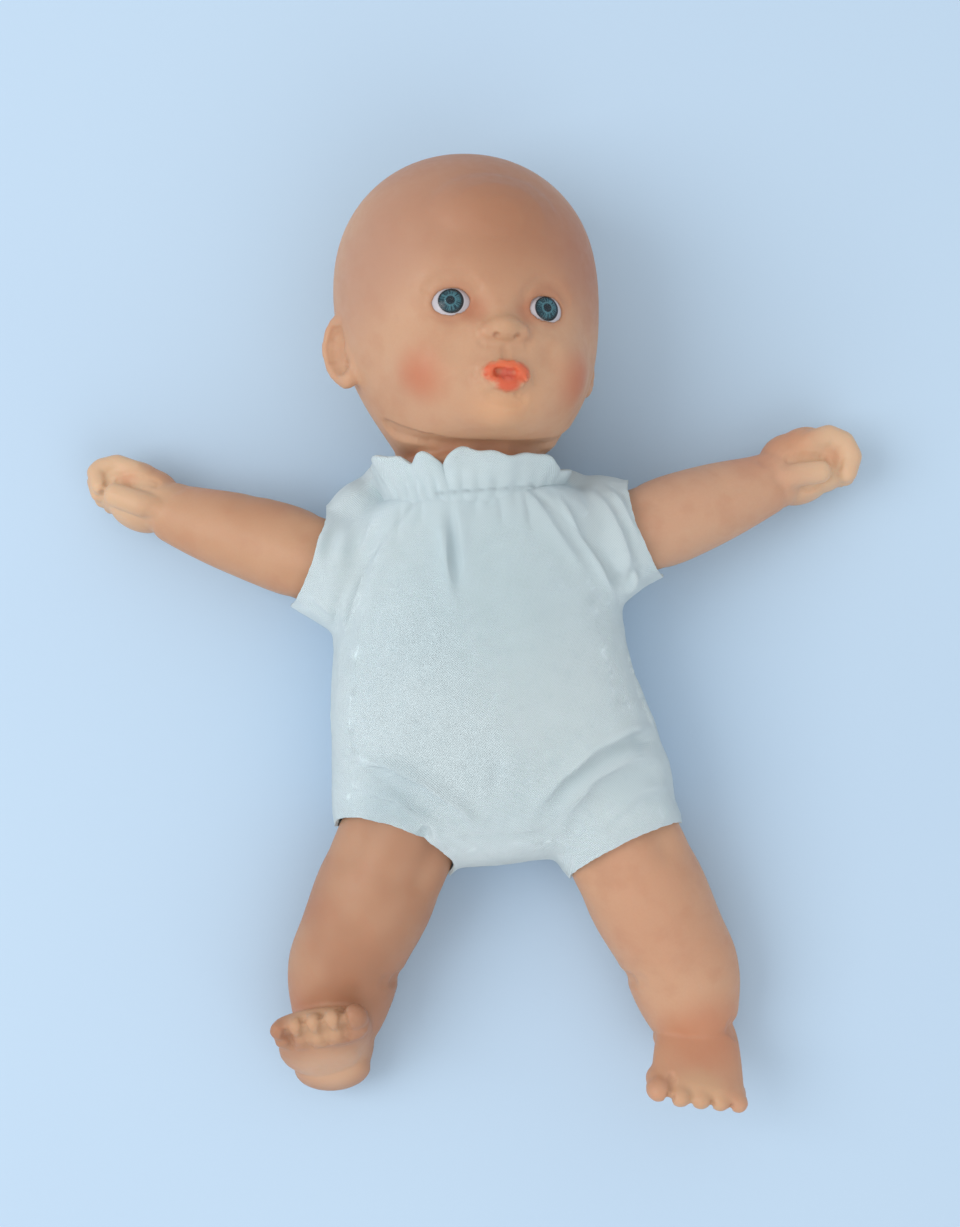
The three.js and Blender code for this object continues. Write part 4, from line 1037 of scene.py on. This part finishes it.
def label_faces(body):
    """Which piece of cloth each face belongs to"""
    centres = np.empty(len(body.data.polygons) * 3)
    body.data.polygons.foreach_get("center", centres)
    x, y, z = centres.reshape(-1, 3).T / MM
    across = np.abs(x)
    raglan_x, raglan_y = zip(*RAGLAN[::-1])
    sleeve = (across > np.interp(y, raglan_y, raglan_x)) & (y > ARMPIT) | (across > 60)
    hip = (across > GUSSET_HALF) & (y < np.interp(across, *zip(*HIP)))
    label = np.where(z > SIDE_LEVEL, 0, 1)
    label[(across <= GUSSET_HALF) & (y < CROTCH)] = 2
    for number, part in ((3, sleeve), (5, hip)):
        label[part & (x > 0)] = number
        label[part & (x < 0)] = number + 1
    return label


def cut_across(body, point, across):
    """Cuts the mesh along a plane, so that a seam has a clean edge"""
    with edited(body):
        bpy.ops.mesh.bisect(plane_co=Vector(point) * MM, plane_no=Vector(across))


def split_body(body):
    """Cuts the body along its seams and parts it into the pieces of cloth"""
    for sign in BOTH:
        for line in (RAGLAN[1:4], HIP[1::-1]):
            for (ax, ay), (bx, by) in zip(line, line[1:]):
                cut_across(body, (sign * ax, ay, 0), (sign * (by - ay), ax - bx, 0))
        cut_across(body, (sign * GUSSET_HALF, CROTCH, 0), (1, 0, 0))
    cut_across(body, (0, 0, SIDE_LEVEL), (0, 0, 1))
    cut_across(body, (0, CROTCH, 0), (0, 1, 0))
    label = label_faces(body)
    pieces = []
    for number, row in enumerate(CLOTH):
        piece = copied(body, row[0])
        bpy.context.tool_settings.mesh_select_mode = (False, False, True)
        with edited(piece, faces=label != number):
            bpy.ops.mesh.delete(type="FACE")
            bpy.ops.mesh.select_all(action="SELECT")
            bpy.ops.mesh.delete_loose()
            bpy.context.tool_settings.mesh_select_mode = (True, False, False)
        pieces.append(piece)
    bpy.data.objects.remove(body)
    return pieces


# Collar. It goes round its own Y; angles are in radians, from +X over the front
FLARES = (
    (1.4, 2.6, 0.2), (-1.3, 2.24, 0.1), (1.3, 2.03, 0.08), (-2.4, 1.86, 0.055), (0.9, 1.7, 0.1),
    (1.0, 0.18, 0.1), (-0.9, 0.34, 0.07),
)
CRESTS = (
    (2.2, 2.72, 0.36), (-1.5, 2.24, 0.1), (0.5, 2.03, 0.08), (-1.6, 1.86, 0.07), (0.7, 1.62, 0.12),
    (0.6, 0.85, 0.16), (-0.9, 0.34, 0.1),
)
COLLAR_ROWS = 18
COLLAR_SIDES = 288
COLLAR_LOW = -3.4
COLLAR_TALL = 10.4
COLLAR_RADIUS = 16.9


def collar_place():
    middle = NECK + Vector((1.2, -0.6, 1.6))
    return Matrix.Translation(middle * MM) @ turned("Z", -3.7) @ turned("X", HEAD_TURN[0])


def humps(angle, rows):
    """The sum of round humps, each with its height, middle and width"""
    return sum(height * np.exp(-(((angle - middle) / width) ** 2)) for height, middle, width in rows)


def ruffle_radius(angle, share):
    """How far the collar stands from the neck's middle: folds grow towards its edge"""
    at_back = 0.5 - 0.5 * np.sin(angle)
    flare = humps(angle, FLARES) + 0.35 * np.cos(9 * angle + 0.6)
    flare += 0.8 * at_back * np.cos(17 * angle + np.sin(2 * angle))
    gathered = 0.3 * np.cos(34 * angle + 3 * np.sin(3 * angle)) * (1 - share)
    return COLLAR_RADIUS + 3.2 * share + share * flare + gathered


def ruffle_edge(angle):
    """How high the collar's free edge stands, over or under its usual height"""
    return humps(angle, CRESTS) + 0.3 * np.cos(8 * angle + 0.4) - 1.3 + 0.25 * np.cos(19 * angle)


def make_ruffle():
    """A gathered collar: a sewn band, then a soft edge that stands out in folds"""
    nothing_selected()
    bpy.ops.mesh.primitive_grid_add(x_subdivisions=COLLAR_SIDES, y_subdivisions=COLLAR_ROWS, size=1.0)
    band = bpy.context.object
    band.name = "cloth_collar"
    band.data.name = "cloth_collar"
    places = spots_of(band) * MM
    angle = (places[:, 0] + 0.5) * 2 * pi
    up = COLLAR_LOW + (places[:, 1] + 0.5) * COLLAR_TALL
    loose = np.clip((up - 0.2) / 6.4, 0, 1)
    radius = ruffle_radius(angle, loose) - np.clip(-0.8 - up, 0, 3.0) * 0.9
    up = up + loose * ruffle_edge(angle)
    moved_to(band, np.stack([np.cos(angle) * radius, up, np.sin(angle) * radius], axis=1))
    with edited(band):
        bpy.ops.mesh.remove_doubles(threshold=0.00001)
        bpy.ops.mesh.normals_make_consistent(inside=False)
    finish_with(band, "SOLIDIFY", thickness=2 * CLOTH_THICKNESS, offset=0.0)
    finish_with(band, "SUBSURF", levels=1, render_levels=1)
    return placed(band, collar_place())


def stitched(piece, start, end, pitch):
    """Sews a row of single stitches into a shallow groove on top of the cloth"""
    start = np.array(start)
    whole = np.array(end) - start
    length = np.linalg.norm(whole)
    ridge(piece, [start + whole * share for share in (0, 0.25, 0.5, 0.75, 1)], -0.3, 0.55, 0.05)
    step = whole / length * pitch
    parts = [piece]
    for number in range(int(length / pitch)):
        first = start + step * (number + 0.3)
        low, high = on_top(piece, [first, first + step * 0.55])
        parts.append(bar(low, high, 0.17, sides=8))
    return joined(piece.name, parts)


# Colours, read as seen in even light
SKIN = tint(196, 152, 121)
SKIN_DEEP = tint(180, 124, 94)
SKIN_LIGHT = tint(204, 166, 135)
ARM_TONE = {"left": tint(198, 154, 126), "right": tint(187, 140, 108)}
LEG_TONE = {"left": tint(196, 149, 119), "right": tint(169, 122, 94)}
COTTON = tint(233, 250, 255)
# The cotton's second colour: painted shade in the weave's gaps, and the colour of its slubs
COTTON_GAP_SHADE_AND_SLUBS = tint(198, 224, 234)
# Paint on the vinyl, with painted shade and painted light among it: place, inner and outer distance, colour,
# strength, and how ragged its edge is
SKULL_SPOTS = (
    ((-2, 26, 6), 4, 32, (172, 122, 96), 0.8), ((2, 11, 24), 3, 24, (164, 112, 84), 0.8),
    # The second spot here is painted light: a lighter patch on the chin's bulge
    ((-17, 8, 18), 3, 18, (170, 122, 100), 0.5), ((1, -29, 20), 2, 10, (214, 162, 120), 0.5),
    # The first spot here is painted shade on the head's +X side, which faces away from the window lamp
    ((20, 4, 16), 3, 20, (160, 100, 78), 0.6), ((-24, 2, 10), 3, 18, (178, 134, 112), 0.6),
)
SIDE_SPOTS = (
    ((17.0, -22.6, 18.5), 0.5, 9.0, (188, 102, 70), 0.65),
    # Painted shade: a darker ring round the eye socket, under the lids
    ((EYE_OUT, EYE_LEVEL, 22.0), 3.4, 5.4, (168, 108, 80), 0.4),
    # Painted shade: in the hollow between the eye and the nose, and a painted shadow in the nostril
    ((5.2, -10.0, 22), 1.0, 4.5, (180, 104, 74), 0.45), ((2.2, -15.9, 26), 0.5, 1.2, (150, 86, 62), 0.7),
    ((3.0, -22.8, 25.4), 1.2, 2.9, (216, 98, 62), 0.9, 1.4),
)
MIDDLE_SPOTS = (
    # The first spot here is painted light, a lighter patch on the tip of the nose
    ((0, -14.0, 27), 2.0, 5.5, (192, 152, 118), 0.5), ((0, -38, -8), 9, 19, (180, 106, 78), 0.85),
    ((0, -21.8, 26.2), 1.2, 3.0, (220, 106, 66), 0.9, 1.4),
    ((0, -24.9, 25.8), 1.6, 3.4, (210, 88, 56), 0.9, 1.4),
    ((0, -23.2, 24.6), 0.8, 2.2, (214, 112, 92), 0.9),
)
ARM_SPOTS = (
    ((46, 1, 3), 5, 16, (220, 188, 154), 0.65), ((39, 7, 2), 2, 8, (196, 134, 98), 0.6),
    # The second spot here is partly blush and partly painted shade, in the crease where the thumb meets the
    # curled fingers
    ((28, 8, 2), 2, 10, (196, 136, 106), 0.5), ((44.5, 1.6, 3.0), 1, 4.0, (200, 126, 90), 0.55),
)
FOOT_SPOTS = (
    ((0, 2, 6), 4, 13, (190, 126, 94), 0.6), ((0, -7, 18), 4, 8.5, (199, 160, 126), 0.7),
    ((0, -10, 2), 4, 12, (212, 170, 138), 0.7),
)


def points_in(place, sign=1):
    """Turns a place in a part's own frame, on either side of it, into a place in the frame"""
    def point(x, y, z):
        return place @ (Vector((sign * x, y, z)) * MM)
    return point


head = make_head()
eyes = {side: make_eye(side) for side in SIDES}
arms = {side: make_arm(side) for side in SIDES}
legs = {side: make_leg(side) for side in SIDES}
body = make_body()
filling = make_filling(body)
finish_with(body, "SUBSURF", levels=1, render_levels=1)
finish_body(body)
cloth_pieces = split_body(body)
collar = stitched(make_ruffle(), (-8.4, 24.8), (16.4, 24.4), 2.7)

head_vinyl = vinyl("head_vinyl", SKIN)
head_vinyl.spots(points_in(head_place()), SKULL_SPOTS)
for sign in BOTH:
    head_vinyl.spots(points_in(head_place(), sign), SIDE_SPOTS)
head_vinyl.spots(points_in(head_place()), MIDDLE_SPOTS)
painted(head, head_vinyl.done())
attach(head, "head")
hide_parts("head_shell")

clear = Finish("clear_dome", tint(40, 60, 66), 0.04)
given(clear.shader, {"Alpha": 0.06, "IOR": 1.25})
# The eye white's grey is partly its own off-white and partly painted shade from the lids over it
eye_finishes = {
    "eye_white": plain("eye_white_gloss", tint(190, 186, 192), 0.22), "iris": iris_finish("iris_print"),
    "eye_lens": clear.done(),
}
for side in SIDES:
    for piece, (node, material) in zip(eyes[side], eye_finishes.items()):
        painted(piece, material)
        only(piece)
        bpy.ops.object.shade_smooth()
        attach(piece, "head")
        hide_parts(f"{node}_{side}")

for side, sign in SIDES.items():
    arm_vinyl = vinyl(f"arm_vinyl_{side}", ARM_TONE[side])
    arm_vinyl.spots(points_in(arm_place(side), sign), ARM_SPOTS)
    painted(arms[side], arm_vinyl.done())
    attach(arms[side], f"{side}_arm")
    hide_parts(f"arm_{side}")

    leg_vinyl = vinyl(f"leg_vinyl_{side}", LEG_TONE[side])
    leg_vinyl.spots(points_in(leg_place(side) @ foot_place(side), sign), FOOT_SPOTS)
    painted(legs[side], leg_vinyl.done())
    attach(legs[side], f"{side}_leg")
    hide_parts(f"leg_{side}")

cotton_finish = weave("woven_cotton", COTTON, COTTON_GAP_SHADE_AND_SLUBS)
# Painted shade: a darker patch over the middle of the chest, and another over the -X hip, where its folds are
# shaded
cotton_finish.spot((0.001, 0.006, 0.041), 4, 32, (204, 230, 240), 0.5)
cotton_finish.spot((-0.024, -0.037, 0.039), 3, 13, (194, 218, 228), 0.5)
cotton = cotton_finish.done()
for piece, (_, node, cut, cut_area, held) in zip(cloth_pieces, CLOTH):
    painted(piece, cotton)
    finish_with(piece, "SOLIDIFY", thickness=CLOTH_THICKNESS, offset=-1.0)
    only(piece)
    bpy.ops.object.shade_smooth_by_angle(angle=radians(50))
    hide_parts(node)
    side = "left" if node.endswith("left") else "right"
    if node.startswith("sleeve"):
        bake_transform(piece)
    elif node.startswith("leg_casing"):
        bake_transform(piece)
    else:
        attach(piece, "torso")

painted(filling, plain("fibre_finish", tint(240, 238, 232), 1.0))
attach(filling, "torso")
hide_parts("torso_stuffing")

painted(collar, cotton)
only(collar)
bpy.ops.object.shade_smooth()
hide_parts("neck_ruffle")
up_neck = Matrix.Translation(NECK * MM) @ turned("Z", HEAD_TURN[2]) @ turned("X", HEAD_TURN[0])
collar_low, collar_high = up_neck @ Vector((0, -0.001, 0)), up_neck @ Vector((0, 0.005, 0))
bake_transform(collar)
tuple(collar_low)
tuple(collar_high)

# Finishes of the carried-over pieces inside
inner = {
    "nylon_tie": plain("tie_nylon", tint(232, 230, 224), 0.45),
    "plug_plastic": plain("plug_plastic_finish", tint(230, 222, 208), 0.6),
}
slots = {entry["node"]: entry["material_slot"] for entry in frame["record"]["subparts"]}
for node, item in frame["nodes"].items():
    if slots[node] in inner:
        for slot in item.material_slots:
            slot.material = inner[slots[node]]

# Floor, light and camera
nothing_selected()
bpy.ops.mesh.primitive_plane_add(size=3.0, location=(0, 0, -0.0001))
floor = bpy.context.object
floor.name = "pale_floor"
floor_finish = Finish("pale_sheet", tint(187, 211, 233), 0.85)
floor_finish.mixed(floor_finish.ranged(floor_finish.grain(6.0, 2.0), 0.35, 0.7), tint(181, 205, 231), 0.25)
floor_finish.raised(floor_finish.grain(900.0, 3.0), 0.05, 0.0002)
painted(floor, floor_finish.done())

world = bpy.data.worlds.new("studio")
bpy.context.scene.world = world
world.use_nodes = True
given(world.node_tree.nodes["Background"], {"Color": (1.0, 1.0, 1.0, 1.0), "Strength": 0.76})


def lamp(name, place, size, power):
    """A soft lamp that looks at the middle of the scene"""
    nothing_selected()
    bpy.ops.object.light_add(type="AREA", location=place)
    light = bpy.context.object
    light.name = name
    light.data.size = size
    light.data.energy = power
    light.rotation_euler = (-Vector(place)).to_track_quat("-Z", "Y").to_euler()


lamp("window", (-0.7, 0.1, 0.85), 0.7, 4.8)
lamp("fill", (0.3, -0.7, 0.9), 0.9, 1.8)

bpy.ops.object.camera_add(location=(-0.0007, 0, 0.480), rotation=(0, 0, radians(-5.1)))
camera = bpy.context.object
camera.data.sensor_fit = "VERTICAL"
camera.data.sensor_height = 36
camera.data.lens = 63.58
camera.data.clip_start = 0.01
bpy.context.scene.camera = camera
bpy.context.scene.view_settings.view_transform = "Standard"
